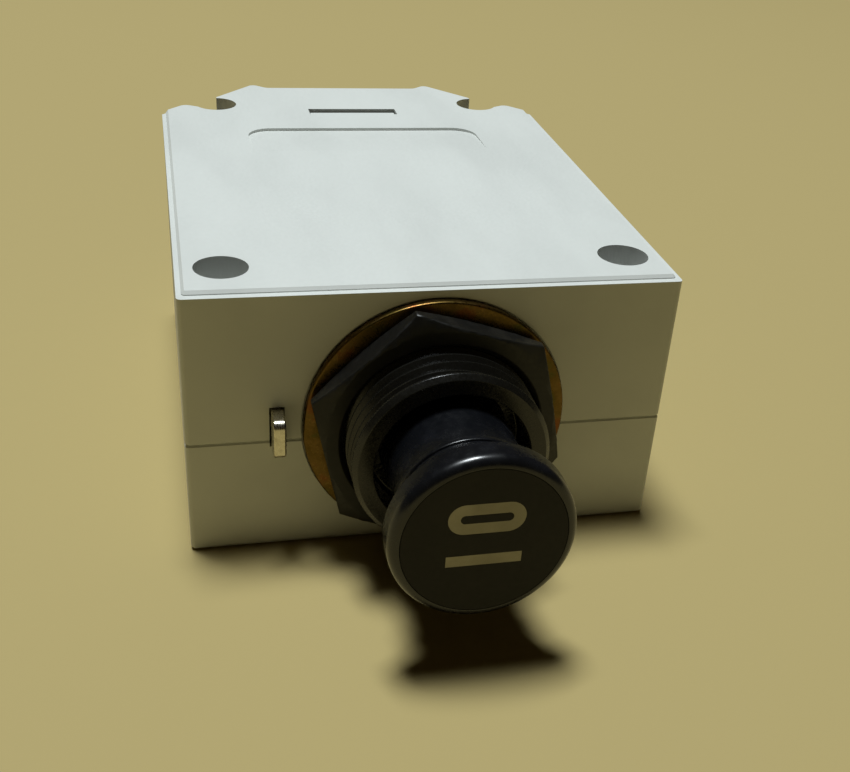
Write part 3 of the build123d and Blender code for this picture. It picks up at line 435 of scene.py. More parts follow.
def row_tree():
    """Copies of one piece on a lattice of two steps."""
    tree, size = start_tree("row of copies", [
        ("Piece", "Object"), ("Start", "Vector"), ("Count", "Int"), ("Step", "Vector"),
        ("Rows", "Int"), ("Row Step", "Vector"), ("Material", "Material")])
    line = add(tree, "GeometryNodeMeshLine", {
        "Count": size["Count"], "Start Location": size["Start"], "Offset": size["Step"]})
    rows = add(tree, "GeometryNodeMeshLine", {"Count": size["Rows"], "Offset": size["Row Step"]})
    lattice = add(tree, "GeometryNodeInstanceOnPoints",
                  {"Points": rows.outputs[0], "Instance": line.outputs[0]})
    spots = add(tree, "GeometryNodeRealizeInstances", {"Geometry": lattice.outputs[0]})
    piece = add(tree, "GeometryNodeObjectInfo", {"Object": size["Piece"]})
    copies = add(tree, "GeometryNodeInstanceOnPoints", {
        "Points": spots.outputs[0], "Instance": piece.outputs["Geometry"]})
    return end_tree(tree, copies.outputs[0], size)


def braid_tree():
    """Strands laid round a path in two layers that cross."""
    tree, size = start_tree("braid", [
        ("Path", "Object"), ("Strands", "Int"), ("Radius", "Float"), ("Strand", "Float"),
        ("Lay Length", "Float"), ("Material", "Material")])
    path = add(tree, "GeometryNodeObjectInfo", {"Object": size["Path"]})
    points = add(tree, "GeometryNodeResampleCurve",
                 {"Curve": path.outputs["Geometry"], "Count": 120})
    strands = add(tree, "GeometryNodeDuplicateElements",
                  {"Geometry": points.outputs[0], "Amount": size["Strands"]}, domain="SPLINE")
    number = strands.outputs["Duplicate Index"]
    run = add(tree, "GeometryNodeSplineParameter").outputs["Length"]
    twist = calc(tree, "MULTIPLY", calc(tree, "DIVIDE", run, size["Lay Length"]), 2 * pi)
    odd = calc(tree, "MODULO", number, 2.0)
    direction = calc(tree, "SUBTRACT", 1.0, calc(tree, "MULTIPLY", odd, 2.0))
    first = calc(tree, "MULTIPLY", calc(tree, "DIVIDE", number, size["Strands"]), 2 * pi)
    angle = calc(tree, "ADD", first, calc(tree, "MULTIPLY", twist, direction))
    layer = calc(tree, "SUBTRACT", size["Radius"], calc(tree, "MULTIPLY", odd, size["Strand"]))
    normal = add(tree, "GeometryNodeInputNormal").outputs[0]
    tangent = add(tree, "GeometryNodeInputTangent").outputs[0]
    cross = add(tree, "ShaderNodeVectorMath", {0: tangent, 1: normal}, operation="CROSS_PRODUCT")
    one = add(tree, "ShaderNodeVectorMath", {
        0: normal, "Scale": calc(tree, "MULTIPLY", layer, calc(tree, "COSINE", angle))},
        operation="SCALE")
    two = add(tree, "ShaderNodeVectorMath", {
        0: cross.outputs[0], "Scale": calc(tree, "MULTIPLY", layer, calc(tree, "SINE", angle))},
        operation="SCALE")
    offset = add(tree, "ShaderNodeVectorMath", {0: one.outputs[0], 1: two.outputs[0]})
    laid = add(tree, "GeometryNodeSetPosition",
               {"Geometry": strands.outputs[0], "Offset": offset.outputs[0]})
    wire = add(tree, "GeometryNodeCurvePrimitiveCircle",
               {"Resolution": 6, "Radius": size["Strand"]})
    solid = add(tree, "GeometryNodeCurveToMesh",
                {"Curve": laid.outputs[0], "Profile Curve": wire.outputs[0], "Fill Caps": True})
    return end_tree(tree, solid.outputs[0], size)


def tree_called(name, make):
    """A shape tree, made once."""
    return bpy.data.node_groups.get(name) or make()


def coil(name, slot, **values):
    values.setdefault("Lay", (0.0, 0.0, 0.0))
    return grown(name, tree_called("closed-end coil", coil_tree), slot, **values)


def thread(name, slot, **values):
    return grown(name, tree_called("screw thread", thread_tree), slot, **values)


def row(name, slot, piece, **values):
    """Copies of a piece, which is removed."""
    values.setdefault("Rows", 1)
    values.setdefault("Row_Step", (0.0, 0.0, 0.0))
    made = grown(name, tree_called("row of copies", row_tree), slot, Piece=piece, **values)
    bpy.data.objects.remove(piece)
    return made


# ------------------------------------------------------------------ materials
def start_material(name):
    """New material with an empty tree, its shader and its object coordinates in millimetres."""
    made = bpy.data.materials.new(name)
    made.use_nodes = True
    tree = made.node_tree
    tree.nodes.clear()
    shader = add(tree, "ShaderNodeBsdfPrincipled")
    add(tree, "ShaderNodeOutputMaterial", {"Surface": shader.outputs[0]})
    place = add(tree, "ShaderNodeTexCoord").outputs["Object"]
    per_mm = add(tree, "ShaderNodeMapping", {"Vector": place, "Scale": (1000, 1000, 1000)})
    return tree, shader, per_mm.outputs[0]


def noise(tree, vector, size_mm, detail=3.0, stretch=(1, 1, 1)):
    """Noise whose grains are about size_mm across, longer along an axis with a small stretch."""
    scaled = add(tree, "ShaderNodeMapping", {"Vector": vector, "Scale": stretch})
    return add(tree, "ShaderNodeTexNoise", {
        "Vector": scaled.outputs[0], "Scale": 1 / size_mm, "Detail": detail}).outputs["Fac"]


def finish_surface(tree, shader, vector, colours, patch_mm, roughness, grain_mm, depth_mm,
                   patch_stretch=(1, 1, 1), grain_stretch=(1, 1, 1), metallic=0.0):
    """Patches of colour, a roughness that varies, and a surface grain with a real depth."""
    patches = noise(tree, vector, patch_mm, 4.0, patch_stretch)
    ramp = add(tree, "ShaderNodeValToRGB", {"Fac": patches})
    stops = ramp.color_ramp.elements
    while len(stops) < len(colours):
        stops.new(0.5)
    for k, (stop, code) in enumerate(zip(stops, colours)):
        stop.position = 0.3 + 0.4 * k / (len(colours) - 1)
        stop.color = code if len(code) == 4 else linear(code)
    tree.links.new(ramp.outputs["Color"], shader.inputs["Base Color"])
    grain = noise(tree, vector, grain_mm, 2.0, grain_stretch)
    gloss = add(tree, "ShaderNodeMapRange", {
        "Value": grain, "From Min": 0.3, "From Max": 0.7,
        "To Min": roughness[0], "To Max": roughness[1]})
    tree.links.new(gloss.outputs[0], shader.inputs["Roughness"])
    bump = add(tree, "ShaderNodeBump", {"Height": grain, "Distance": depth_mm * MM})
    tree.links.new(bump.outputs[0], shader.inputs["Normal"])
    shader.inputs["Metallic"].default_value = metallic
    return patches, grain, bump


def shade(rgba, share):
    """A colour made darker or lighter."""
    return (*[min(1.0, c * share) for c in rgba[:3]], 1.0)


def moulding_compound(name, base, grain_mm=0.35, depth_mm=0.006, roughness=(0.42, 0.56)):
    """Glass-filled polyester moulding: satin, with faint flow marks along the fill and a
    fine spark-eroded texture off the mould."""
    tree, shader, mm = start_material(name)
    colours = (shade(base, 0.94), base, shade(base, 1.03))
    finish_surface(tree, shader, mm, colours, 9.0, roughness, grain_mm, depth_mm,
                   patch_stretch=(1, 0.35, 1))
    shader.inputs["IOR"].default_value = 1.55


def dark_finish(name, base, dust, roughness, grain_mm=0.3, depth_mm=0.004, gloss=0.5):
    """Dark moulded or blackened surface: near black, with a trace of dust in random patches."""
    tree, shader, mm = start_material(name)
    colours = (shade(base, 0.85), base, dust)
    finish_surface(tree, shader, mm, colours, 2.6, roughness, grain_mm, depth_mm)
    shader.inputs["IOR"].default_value = 1.53
    shader.inputs["Specular IOR Level"].default_value = gloss


def plate_metal(name, colours, patch_mm, roughness, grain_mm, depth_mm, brushed=(1, 1, 1)):
    """Bare or plated metal: stains of a few tones, and marks drawn out along its working
    direction."""
    tree, shader, mm = start_material(name)
    finish_surface(tree, shader, mm, colours, patch_mm, roughness, grain_mm, depth_mm,
                   grain_stretch=brushed, metallic=1.0)


def laid_fibre(name, colours, roughness):
    """Vulcanised fibre board: matt dark red, with pressed paper fibres and specks."""
    tree, shader, mm = start_material(name)
    finish_surface(tree, shader, mm, colours, 0.8, roughness, 0.15, 0.02,
                   patch_stretch=(0.3, 1, 1), grain_stretch=(0.2, 1, 1))


def enamelled_wire(name):
    """Enamelled copper wire: metal under a clear amber varnish, so it has a second gloss."""
    tree, shader, mm = start_material(name)
    finish_surface(tree, shader, mm, ("#8A3F1C", "#A9562A", "#B9683A"), 1.5, (0.22, 0.34), 0.4,
                   0.004, metallic=1.0)
    shader.inputs["Coat Weight"].default_value = 0.8
    shader.inputs["Coat Roughness"].default_value = 0.12


# what each of the record's slots is made of
MATERIALS = {
    "housing_plastic": "glass-filled polyester, moulded",
    "rivet_steel": "zinc-plated steel, rolled",
    "neck_black": "glass-filled nylon, threaded",
    "nut_black": "steel, black oxide, oiled",
    "washer_yellow": "yellow-passivated zinc on steel, stamped",
    "tab_steel": "nickel-plated steel, sheared",
    "seal_rubber": "nitrile rubber, moulded",
    "button_black": "PBT polyester, glossy moulding",
    "disc_black": "PBT polyester, satin moulding",
    "mark_ivory": "ivory pad-filled enamel",
    "rod_steel": "stainless steel, ground",
    "spring_steel": "music wire, drawn",
    "carriage_plastic": "phenolic thermoset, moulded",
    "copper": "electrolytic copper, stamped",
    "silver_contact": "silver-nickel contact, tarnished",
    "terminal_brass": "tin-plated brass, stamped",
    "screw_steel": "nickel-plated steel, turned",
    "bobbin_plastic": "polyamide bobbin, moulded",
    "magnet_wire": "enamelled copper wire",
    "soft_iron": "soft iron, zinc flashed",
    "bimetal": "rolled thermostatic bimetal",
    "lever_plastic": "acetal, moulded",
    "splitter_steel": "copper-flashed mild steel",
    "fibre_board": "vulcanised fibre board",
}


def material_of(slot):
    """The finished material of a record slot."""
    return bpy.data.materials[MATERIALS[slot]]


class BREAKER_OT_materials(bpy.types.Operator):
    """Makes the procedural material of every slot"""
    bl_idname = "breaker.materials"
    bl_label = "Materials"

    def execute(self, context):
        sizes = context.scene.breaker
        plastic = tuple(sizes.housing.plastic)
        black = tuple(sizes.mount.neck_colour)
        cap = tuple(sizes.button.cap_colour)
        # the washer's colour carries painted shade as well as its yellow zinc
        yellow = tuple(sizes.mount.washer_colour_with_painted_shade)
        name = MATERIALS
        # light grey and satin, almost without gloss, like most breaker housings
        moulding_compound(name["housing_plastic"], plastic)
        # bluish white plating over the rolled head's rings
        plate_metal(name["rivet_steel"], ("#B2B4B5", "#D3D5D4", "#E0DFD9"), 1.2, (0.28, 0.45),
                    0.2, 0.006)
        # the neck's crests shine a little more than the nut's oiled flats
        dark_finish(name["neck_black"], black, linear("#1A1915"), (0.2, 0.32), 0.3, 0.0015, 0.45)
        dark_finish(name["nut_black"], black, linear("#201E19"), (0.32, 0.48), 0.4, 0.008,
                    0.3)
        # yellow zinc runs from olive green to straw and a trace of rose; these tones and the base are
        # also darkened as painted shade on the washer
        plate_metal(name["washer_yellow"], ("#4A4824", shade(yellow, 1.0), "#66512B", "#6B4425"),
                    2.2, (0.25, 0.42), 0.25, 0.004)
        # bright nickel with shear marks across its thickness
        plate_metal(name["tab_steel"], ("#B3AD9C", "#D2CDBD", "#C5BEAA"), 1.0, (0.18, 0.36),
                    0.12, 0.005, (1, 1, 0.2))
        # matt black rubber with a powdery bloom
        dark_finish(name["seal_rubber"], linear("#1B1B1B"), linear("#2E2D2B"), (0.65, 0.8), 0.2, 0.006)
        # high gloss black, its wear only a fine unevenness
        dark_finish(name["button_black"], cap, linear("#15161A"), (0.2, 0.3), 0.9, 0.003)
        dark_finish(name["disc_black"], linear("#100F0C"), linear("#15140F"), (0.4, 0.52), 0.5, 0.003,
                    0.2)
        # opaque enamel with slightly uneven cover
        dark_finish(name["mark_ivory"], linear("#98937F"), linear("#A5A08C"), (0.45, 0.6), 0.4, 0.003)
        # ground bar: fine rings round its length
        plate_metal(name["rod_steel"], ("#9DA0A2", "#BFC1C1", "#CDCECB"), 1.4, (0.16, 0.3),
                    0.12, 0.004, (0.3, 1, 0.3))
        plate_metal(name["spring_steel"], ("#4F4E4C", "#6B6966", "#7E7B74"), 0.8, (0.25, 0.4),
                    0.1, 0.003)
        moulding_compound(name["carriage_plastic"], linear("#5E3322"), 0.3, 0.005, (0.45, 0.6))
        # fresh copper with brown heat stains
        plate_metal(name["copper"], ("#A8603F", "#C77B54", "#D28E66"), 2.4, (0.25, 0.42),
                    0.15, 0.006, (1, 0.15, 1))
        plate_metal(name["silver_contact"], ("#7F7A6F", "#C9C5B8", "#DEDBD0"), 0.7, (0.3, 0.5),
                    0.12, 0.01)
        plate_metal(name["terminal_brass"], ("#A39F92", "#C3BFB1", "#CFCBBE"), 1.8, (0.25, 0.4),
                    0.15, 0.005, (0.2, 1, 1))
        plate_metal(name["screw_steel"], ("#A9A79F", "#C6C3BA", "#D3D0C8"), 1.0, (0.2, 0.34),
                    0.12, 0.005)
        moulding_compound(name["bobbin_plastic"], linear("#B9AE93"), 0.25, 0.004, (0.4, 0.55))
        enamelled_wire(name["magnet_wire"])
        plate_metal(name["soft_iron"], ("#7C7A72", "#98968D", "#A5A294"), 1.6, (0.35, 0.5),
                    0.2, 0.008)
        # rolled strip: long fine lines and a straw tint from its heat treatment
        plate_metal(name["bimetal"], ("#9A9484", "#B5AF9C", "#BDB08C"), 2.0, (0.25, 0.4),
                    0.1, 0.005, (1, 0.1, 1))
        moulding_compound(name["lever_plastic"], linear("#D8D2C2"), 0.3, 0.004, (0.35, 0.5))
        plate_metal(name["splitter_steel"], ("#8A5A42", "#A9775A", "#9C9288"), 1.2, (0.35, 0.5),
                    0.2, 0.008, (1, 1, 0.2))
        laid_fibre(name["fibre_board"], ("#6B2A1E", "#7E3625", "#93492F"), (0.7, 0.85))
        missing = [n for n in name.values() if n not in bpy.data.materials]
        if missing:
            raise RuntimeError(f"materials not made: {missing}")
        for node, slot in SLOTS.items():
            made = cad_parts[node]
            made.data.materials.clear()
            made.data.materials.append(material_of(slot))
        return {"FINISHED"}


def settle(made, body, *nodes):
    """Give a finished piece its body, if it rides, its nodes and their material."""
    slot = SLOTS[nodes[0]]
    made.data.materials.clear()
    made.data.materials.append(material_of(slot))
    if body:
        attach(made, body)
    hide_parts(*nodes)
    return made


# ------------------------------------------------------------------ pieces
class BREAKER_OT_housing(bpy.types.Operator):
    """Makes the two moulded shells and sets the rolled rivets"""
    bl_idname = "breaker.housing"
    bl_label = "Housing"

    def execute(self, context):
        size = context.scene.breaker.housing
        for node in ("upper_shell", "lower_shell"):
            # their edges are already broken in the frame
            settle(copy_of(node, node + "_moulding"), "housing", node)
        low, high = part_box("front_rivets")
        head_radius = (high.y - low.y) / 2
        middle = (low.y + high.y) / 2
        shank, bore, head = size.rivet_shank, size.rivet_bore, size.rivet_head
        roll = head * 0.45
        # one tubular rivet stood on end: its heads are rolled over at both ends
        profile = rounded([
            (low.z, bore, roll), (low.z, head_radius, roll), (low.z + head, head_radius, roll / 2),
            (low.z + head, shank), (high.z - head, shank), (high.z - head, head_radius, roll / 2),
            (high.z, head_radius, roll), (high.z, bore, roll)])
        rivet = lathe("rivet", profile, steps=48)
        rivet.data.transform(Matrix.Rotation(pi / 2, 4, "X"))
        rivets = row("rolled_rivets", "rivet_steel", rivet, Count=2,
                     Start=(low.x + head_radius, middle, 0.0),
                     Step=(high.x - low.x - 2 * head_radius, 0.0, 0.0))
        settle(rivets, "housing", "front_rivets")
        barrier = copy_of("insulating_barrier", "barrier_board", size.edge)
        settle(barrier, "housing", "insulating_barrier")
        return {"FINISHED"}


class BREAKER_OT_mount(bpy.types.Operator):
    """Cuts the threadneck's thread and makes the seal, nut, washer and locating tab"""
    bl_idname = "breaker.mount"
    bl_label = "Threadneck and Nut"

    def execute(self, context):
        size = context.scene.breaker.mount
        low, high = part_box("threadneck")
        nut_low, nut_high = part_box("hex_nut")
        crest = MM * NECK_CREST
        root = crest - size.thread_depth
        flange_front = high.y - MM * FLANGE
        floor = low.y + size.bore_depth
        seal_low, seal_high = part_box("neck_seal")
        # the collar in front of the thread is turned down to the root behind its chamfer
        core = lathe("neck_core", rounded([
            (low.y, size.bore, 0.15 * MM), (low.y, crest - 0.5 * MM, 0.12 * MM),
            (low.y + 0.5 * MM, crest, 0.1 * MM), (low.y + 0.75 * MM, crest),
            (low.y + 1.0 * MM, root), (flange_front + 0.1 * MM, root),
            (flange_front + 0.1 * MM, size.stem_bore + 0.3 * MM), (high.y, size.stem_bore + 0.3 * MM),
            (high.y, size.stem_bore), (seal_high.y, size.stem_bore), (seal_high.y, seal_high.x),
            (seal_low.y, seal_high.x), (seal_low.y, size.stem_bore), (floor, size.stem_bore),
            (floor, size.bore, 0.3 * MM)]), steps=144)
        ridge = thread("neck_ridge", "neck_black", Root=root - 0.05 * MM,
                       Depth=crest - root + 0.03 * MM, Pitch=size.pitch,
                       Start=(0.0, low.y + 1.1 * MM, 0.0),
                       Length=flange_front - low.y - 1.2 * MM)
        flange = bmesh.new()
        half, corner, hole = high.x, 2.5 * MM, size.stem_bore + 0.25 * MM
        steps = 64
        rings = []
        for y, inner in ((flange_front, True), (flange_front, False), (high.y, False),
                         (high.y, True)):
            ring = []
            for k in range(steps):
                a = 2 * pi * k / steps
                if inner:
                    ring.append(flange.verts.new((hole * cos(a), y, hole * sin(a))))
                    continue
                # a square with round corners, by its support in each direction
                x, z = square_point(a, half, corner)
                ring.append(flange.verts.new((x, y, z)))
            rings.append(ring)
        for one, two in zip(rings, rings[1:] + rings[:1]):
            for k in range(steps):
                n = (k + 1) % steps
                flange.faces.new((one[k], two[k], two[n], one[n]))
        bmesh.ops.recalc_face_normals(flange, faces=flange.faces)
        plate = from_bmesh("neck_flange", flange)
        neck = joined("threaded_neck", [core, ridge, plate])
        settle(neck, "housing", "threadneck")
        section = seal_high.y - seal_low.y
        seal = lathe("stem_seal", rounded([
            (seal_low.y + 0.02 * MM, size.stem_bore - 0.04 * MM, section * 0.3),
            (seal_low.y + 0.02 * MM, seal_high.x - 0.01 * MM, section * 0.3),
            (seal_high.y - 0.02 * MM, seal_high.x - 0.01 * MM, section * 0.3),
            (seal_high.y - 0.02 * MM, size.stem_bore - 0.04 * MM, section * 0.3)]))
        settle(seal, "housing", "neck_seal")
        nut = copy_of("hex_nut", "hexagon_nut", 0.12 * MM)
        settle(nut, "nut", "hex_nut")
        low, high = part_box("lock_washer")
        bore = crest + 0.2 * MM
        washer = lathe("spring_washer", rounded([
            (low.y, bore, 0.1 * MM), (low.y, high.x, 0.25 * MM), (high.y, high.x, 0.25 * MM),
            (high.y, bore, 0.1 * MM)]), steps=144)
        settle(washer, "washer", "lock_washer")
        tab = copy_of("locating_tab", "locating_pin", 0.15 * MM, 3)
        settle(tab, "housing", "locating_tab")
        return {"FINISHED"}


def square_point(angle, half, corner):
    """Point of a square with round corners, for an even sweep round it."""
    x, z = cos(angle), sin(angle)
    inner = half - corner
    grow = 1 / max(abs(x), abs(z))
    x, z = x * grow * half, z * grow * half
    if abs(x) > inner and abs(z) > inner:
        way = Vector((abs(x) - inner, abs(z) - inner)).normalized() * corner
        x = (inner + way.x) * (1 if x > 0 else -1)
        z = (inner + way.y) * (1 if z > 0 else -1)
    return x, z


class BREAKER_OT_button(bpy.types.Operator):
    """Turns the pull cap, its marked disc, the rod and the clip"""
    bl_idname = "breaker.button"
    bl_label = "Button"

    def execute(self, context):
        size = context.scene.breaker.button
        low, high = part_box("button_cap")
        disc_low, disc_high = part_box("button_disc")
        clip_low, clip_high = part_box("retaining_clip")
        rod_low, rod_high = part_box("button_rod")
        rim, stem = high.x, size.stem
        cap_back = low.y + size.cap_height
        stem_front = cap_back + size.flare
        ring_back = stem_front + 0.8 * MM
        groove = stem - 0.8 * MM
        # the flare sweeps from the cap's back edge down to the stem
        flare = []
        for k in range(13):
            a = pi / 2 * k / 12
            flare.append((stem_front - size.flare * cos(a),
                          stem + 0.2 * MM + (rim - stem - 0.6 * MM) * (1 - sin(a))))
        gap = 0.05 * MM
        profile = rounded([
            (disc_high.y, 0.0), (disc_high.y, size.disc + gap), (low.y, size.disc + gap, 0.12 * MM),
            (low.y, rim, size.edge), (cap_back, rim, 0.3 * MM), *flare,
            (stem_front, size.ring, 0.15 * MM), (ring_back, size.ring, 0.15 * MM),
            (ring_back, stem), (clip_low.y - 2 * gap, stem), (clip_low.y - 2 * gap, groove),
            (clip_high.y + 2 * gap, groove), (clip_high.y + 2 * gap, stem),
            (high.y, stem, 0.3 * MM), (high.y, rod_high.x + gap), (rod_low.y - gap, rod_high.x + gap),
            (rod_low.y - gap, 0.0)])
        cap = lathe("pull_cap", profile, steps=144, sharp=50)
        settle(cap, "button", "button_cap")
        settle(copy_of("button_disc", "marked_disc"), "button", "button_disc")
        settle(copy_of("button_marks", "disc_marks"), "button", "button_marks")
        rod = lathe("push_rod", rounded([
            (rod_low.y, 0.0), (rod_low.y, rod_high.x, 0.4 * MM), (rod_high.y, rod_high.x, 0.4 * MM),
            (rod_high.y, 0.0)]), steps=64)
        settle(rod, "button", "button_rod")
        clip = copy_of("retaining_clip", "stem_clip", 0.08 * MM)
        settle(clip, "button", "retaining_clip")
        return {"FINISHED"}


class BREAKER_OT_contacts(bpy.types.Operator):
    """Makes the carriage, the bridge, the silver tips, the springs and the fixed contacts"""
    bl_idname = "breaker.contacts"
    bl_label = "Contacts"

    def execute(self, context):
        size = context.scene.breaker.contacts
        settle(copy_of("contact_carriage", "moulded_carriage", 0.12 * MM), "carriage",
               "contact_carriage")
        settle(copy_of("contact_bridge", "copper_bridge", 0.12 * MM), "bridge", "contact_bridge")
        for node, body, domed in (("bridge_tips", "bridge", 1), ("fixed_tips", "housing", -1)):
            low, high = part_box(node)
            radius = high.z
            back, front = (low.y, high.y) if domed > 0 else (high.y, low.y)
            thick = front - back
            # a rivet-like tip whose face is a shallow dome
            dome = [(front - thick * 0.35 * (1 - cos(a)) / (1 - cos(1.0)), radius * sin(a) / sin(1.0))
                    for a in (0.0, 0.25, 0.5, 0.75, 1.0)]
            tip = lathe(node + "_one", [(back, 0.0), (back, radius), *reversed(dome)],
                        steps=40)
            tips = row(node.replace("tips", "silver_tips"), "silver_contact", tip, Count=2,
                       Start=(low.x + radius, 0.0, 0.0),
                       Step=(high.x - low.x - 2 * radius, 0.0, 0.0))
            settle(tips, body, node)
        for node, wire, turns, joint, keep in (
            ("return_spring", size.return_wire, size.return_turns, "carriage_slide", None),
            ("contact_spring", size.contact_wire, size.contact_turns, "bridge_slide", None),
        ):
            low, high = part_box(node)
            middle = (low + high) / 2
            made = coil(node + "_coil", "spring_steel", Start=(middle.x, low.y, middle.z),
                        Length=high.y - low.y, Radius=(high.x - low.x - wire) / 2, Wire=wire,
                        Turns=turns)
            settle(made, "housing" if joint == "carriage_slide" else "carriage", node)
            squash_between(made, joint)
        for node in ("fixed_contact_line", "fixed_contact_load"):
            settle(copy_of(node, node.replace("contact", "bar"), 0.12 * MM), "housing", node)
        return {"FINISHED"}


def squash_between(made, joint):
    """Give a spring its own mesh; nothing here shortens it by what its joint takes up."""
    if joint == "carriage_slide":
        # held by the pillar behind it, pushed by the carriage's foot
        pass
    elif joint == "bridge_slide":
        # it rides on the carriage, and the bridge lags behind at the end of the travel
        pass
    else:
        # it rides in the armature and stops against the core
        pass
    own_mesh(made)


class BREAKER_OT_terminals(bpy.types.Operator):
    """Makes the terminal bars and their screws, washers and square nuts"""
    bl_idname = "breaker.terminals"
    bl_label = "Terminals"

    def execute(self, context):
        size = context.scene.breaker.terminals
        for node in ("terminal_line", "terminal_load"):
            settle(copy_of(node, node + "_bar", 0.12 * MM), "housing", node)
        low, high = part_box("terminal_screws")
        head = high.z
        pair = {"Count": 2, "Start": (low.x + head, 0.0, 0.0),
                "Step": (high.x - low.x - 2 * head, 0.0, 0.0)}
        washer_low, washer_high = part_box("terminal_washers")
        head_front = washer_high.y + 0.05 * MM
        shank = 2.45 * MM
        depth = 0.4 * MM
        blank = lathe("screw_blank", rounded([
            (low.y, 0.0), (low.y, shank - depth, 0.3 * MM), (head_front, shank - depth),
            (head_front, head, 0.2 * MM), (high.y, head, 0.7 * MM), (high.y, 0.0)]), steps=64)
        # the driver slot is cut across the head
        cutter = bmesh.new()
        bmesh.ops.create_cube(cutter, size=1.0)
        bmesh.ops.transform(cutter, verts=cutter.verts, matrix=Matrix.Diagonal(
            (3 * head, 2.4 * MM, size.slot, 1)))
        bmesh.ops.translate(cutter, verts=cutter.verts, vec=(0, high.y, 0))
        blade = from_bmesh("slot_cutter", cutter)
        cut = blank.modifiers.new("slot", "BOOLEAN")
        cut.object = blade
        cut.solver = "EXACT"
        screw = joined("slotted_screw", [blank, thread(
            "screw_ridge", "screw_steel", Root=shank - depth - 0.03 * MM, Depth=depth,
            Pitch=size.pitch, Start=(0.0, low.y + 0.5 * MM, 0.0),
            Length=head_front - low.y - 0.9 * MM)])
        bpy.data.objects.remove(blade)
        settle(row("slotted_screws", "screw_steel", screw, **pair), "housing", "terminal_screws")
        rim = washer_high.z
        washer = lathe("pressure_washer", rounded([
            (washer_low.y, shank + 0.2 * MM), (washer_low.y, rim, 0.2 * MM),
            (washer_high.y, rim, 0.35 * MM), (washer_high.y, shank + 0.2 * MM)]), steps=56)
        settle(row("pressure_washers", "screw_steel", washer, **pair), "housing", "terminal_washers")
        settle(copy_of("terminal_nuts", "square_nuts", 0.2 * MM), "housing", "terminal_nuts")
        return {"FINISHED"}


class BREAKER_OT_releases(bpy.types.Operator):
    """Makes the magnetic release, the thermal release and the trip lever"""
    bl_idname = "breaker.releases"
    bl_label = "Releases"

    def execute(self, context):
        size = context.scene.breaker.release
        low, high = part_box("coil_bobbin")
        axis = (low + high) / 2
        wind_low, wind_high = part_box("magnet_coil")
        core_low, core_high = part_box("magnet_core")
        bore = 2.1 * MM
        tube = bore + 0.6 * MM
        flange = 1.0 * MM
        rim = (high.z - low.z) / 2
        bobbin = lathe("moulded_bobbin", rounded([
            (low.y, bore), (low.y, rim, 0.2 * MM), (low.y + flange, rim, 0.2 * MM),
            (low.y + flange, tube), (high.y - flange, tube), (high.y - flange, rim, 0.2 * MM),
            (high.y, rim, 0.2 * MM), (high.y, bore)]), axis.x, axis.z, steps=72)
        settle(bobbin, "housing", "coil_bobbin")
        wire = size.winding_wire
        outer = (wind_high.z - wind_low.z) / 2
        span = wind_high.y - wind_low.y
        layers = []
        for layer in range(3):
            # each layer of wire lies in the grooves of the one under it
            inset = wire * 0.87 * layer
            layers.append(coil(f"winding_{layer}", "magnet_wire",
                               Start=(axis.x, wind_low.y, axis.z), Length=span,
                               Radius=outer - wire / 2 - inset, Wire=wire,
                               Turns=float(int(span / wire) - 1)))
        for lead in (wind_low.y + 1.5 * MM, wind_high.y - 1.5 * MM):
            # the two ends go straight across to the conductor beside the coil
            tail = bmesh.new()
            turned(tail, rounded([(0.0, 0.0), (0.0, wire / 2, 0.1 * MM), (1.0, wire / 2),
                                  (1.0, 0.0)]), steps=12)
            reach = wind_high.x - axis.x
            bmesh.ops.transform(tail, verts=tail.verts, matrix=(
                Matrix.Translation((wind_high.x, lead, axis.z))
                @ Matrix.Rotation(pi / 2, 4, "Z") @ Matrix.Diagonal((1, reach, 1, 1))))
            layers.append(from_bmesh("winding_lead", tail))
        winding = joined("wound_coil", layers)
        settle(winding, "housing", "magnet_coil")
        settle(copy_of("magnet_yoke", "bent_yoke", 0.15 * MM), "housing", "magnet_yoke")
        settle(copy_of("magnet_core", "turned_core", 0.08 * MM), "housing", "magnet_core")
        settle(copy_of("armature", "turned_armature", 0.12 * MM), "armature", "armature")
        low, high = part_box("armature_spring")
        middle = (low + high) / 2
        thin = 0.32 * MM
        made = coil("armature_spring_coil", "spring_steel", Start=(middle.x, low.y, middle.z),
                    Length=high.y - low.y, Radius=(high.x - low.x - thin) / 2, Wire=thin,
                    Turns=9.0)
        settle(made, "armature", "armature_spring")
        squash_between(made, "armature_slide")
        settle(copy_of("bimetal_strip", "rolled_strip", 0.06 * MM), "bimetal", "bimetal_strip")
        settle(copy_of("bimetal_bracket", "strip_bracket", 0.12 * MM), "housing", "bimetal_bracket")
        settle(copy_of("calibration_screw", "set_screw", 0.1 * MM), "housing", "calibration_screw")
        settle(copy_of("trip_lever", "moulded_lever", 0.15 * MM, 3), "lever", "trip_lever")
        settle(copy_of("trip_lever_pin", "lever_pin", 0.1 * MM), "housing", "trip_lever_pin")
        return {"FINISHED"}


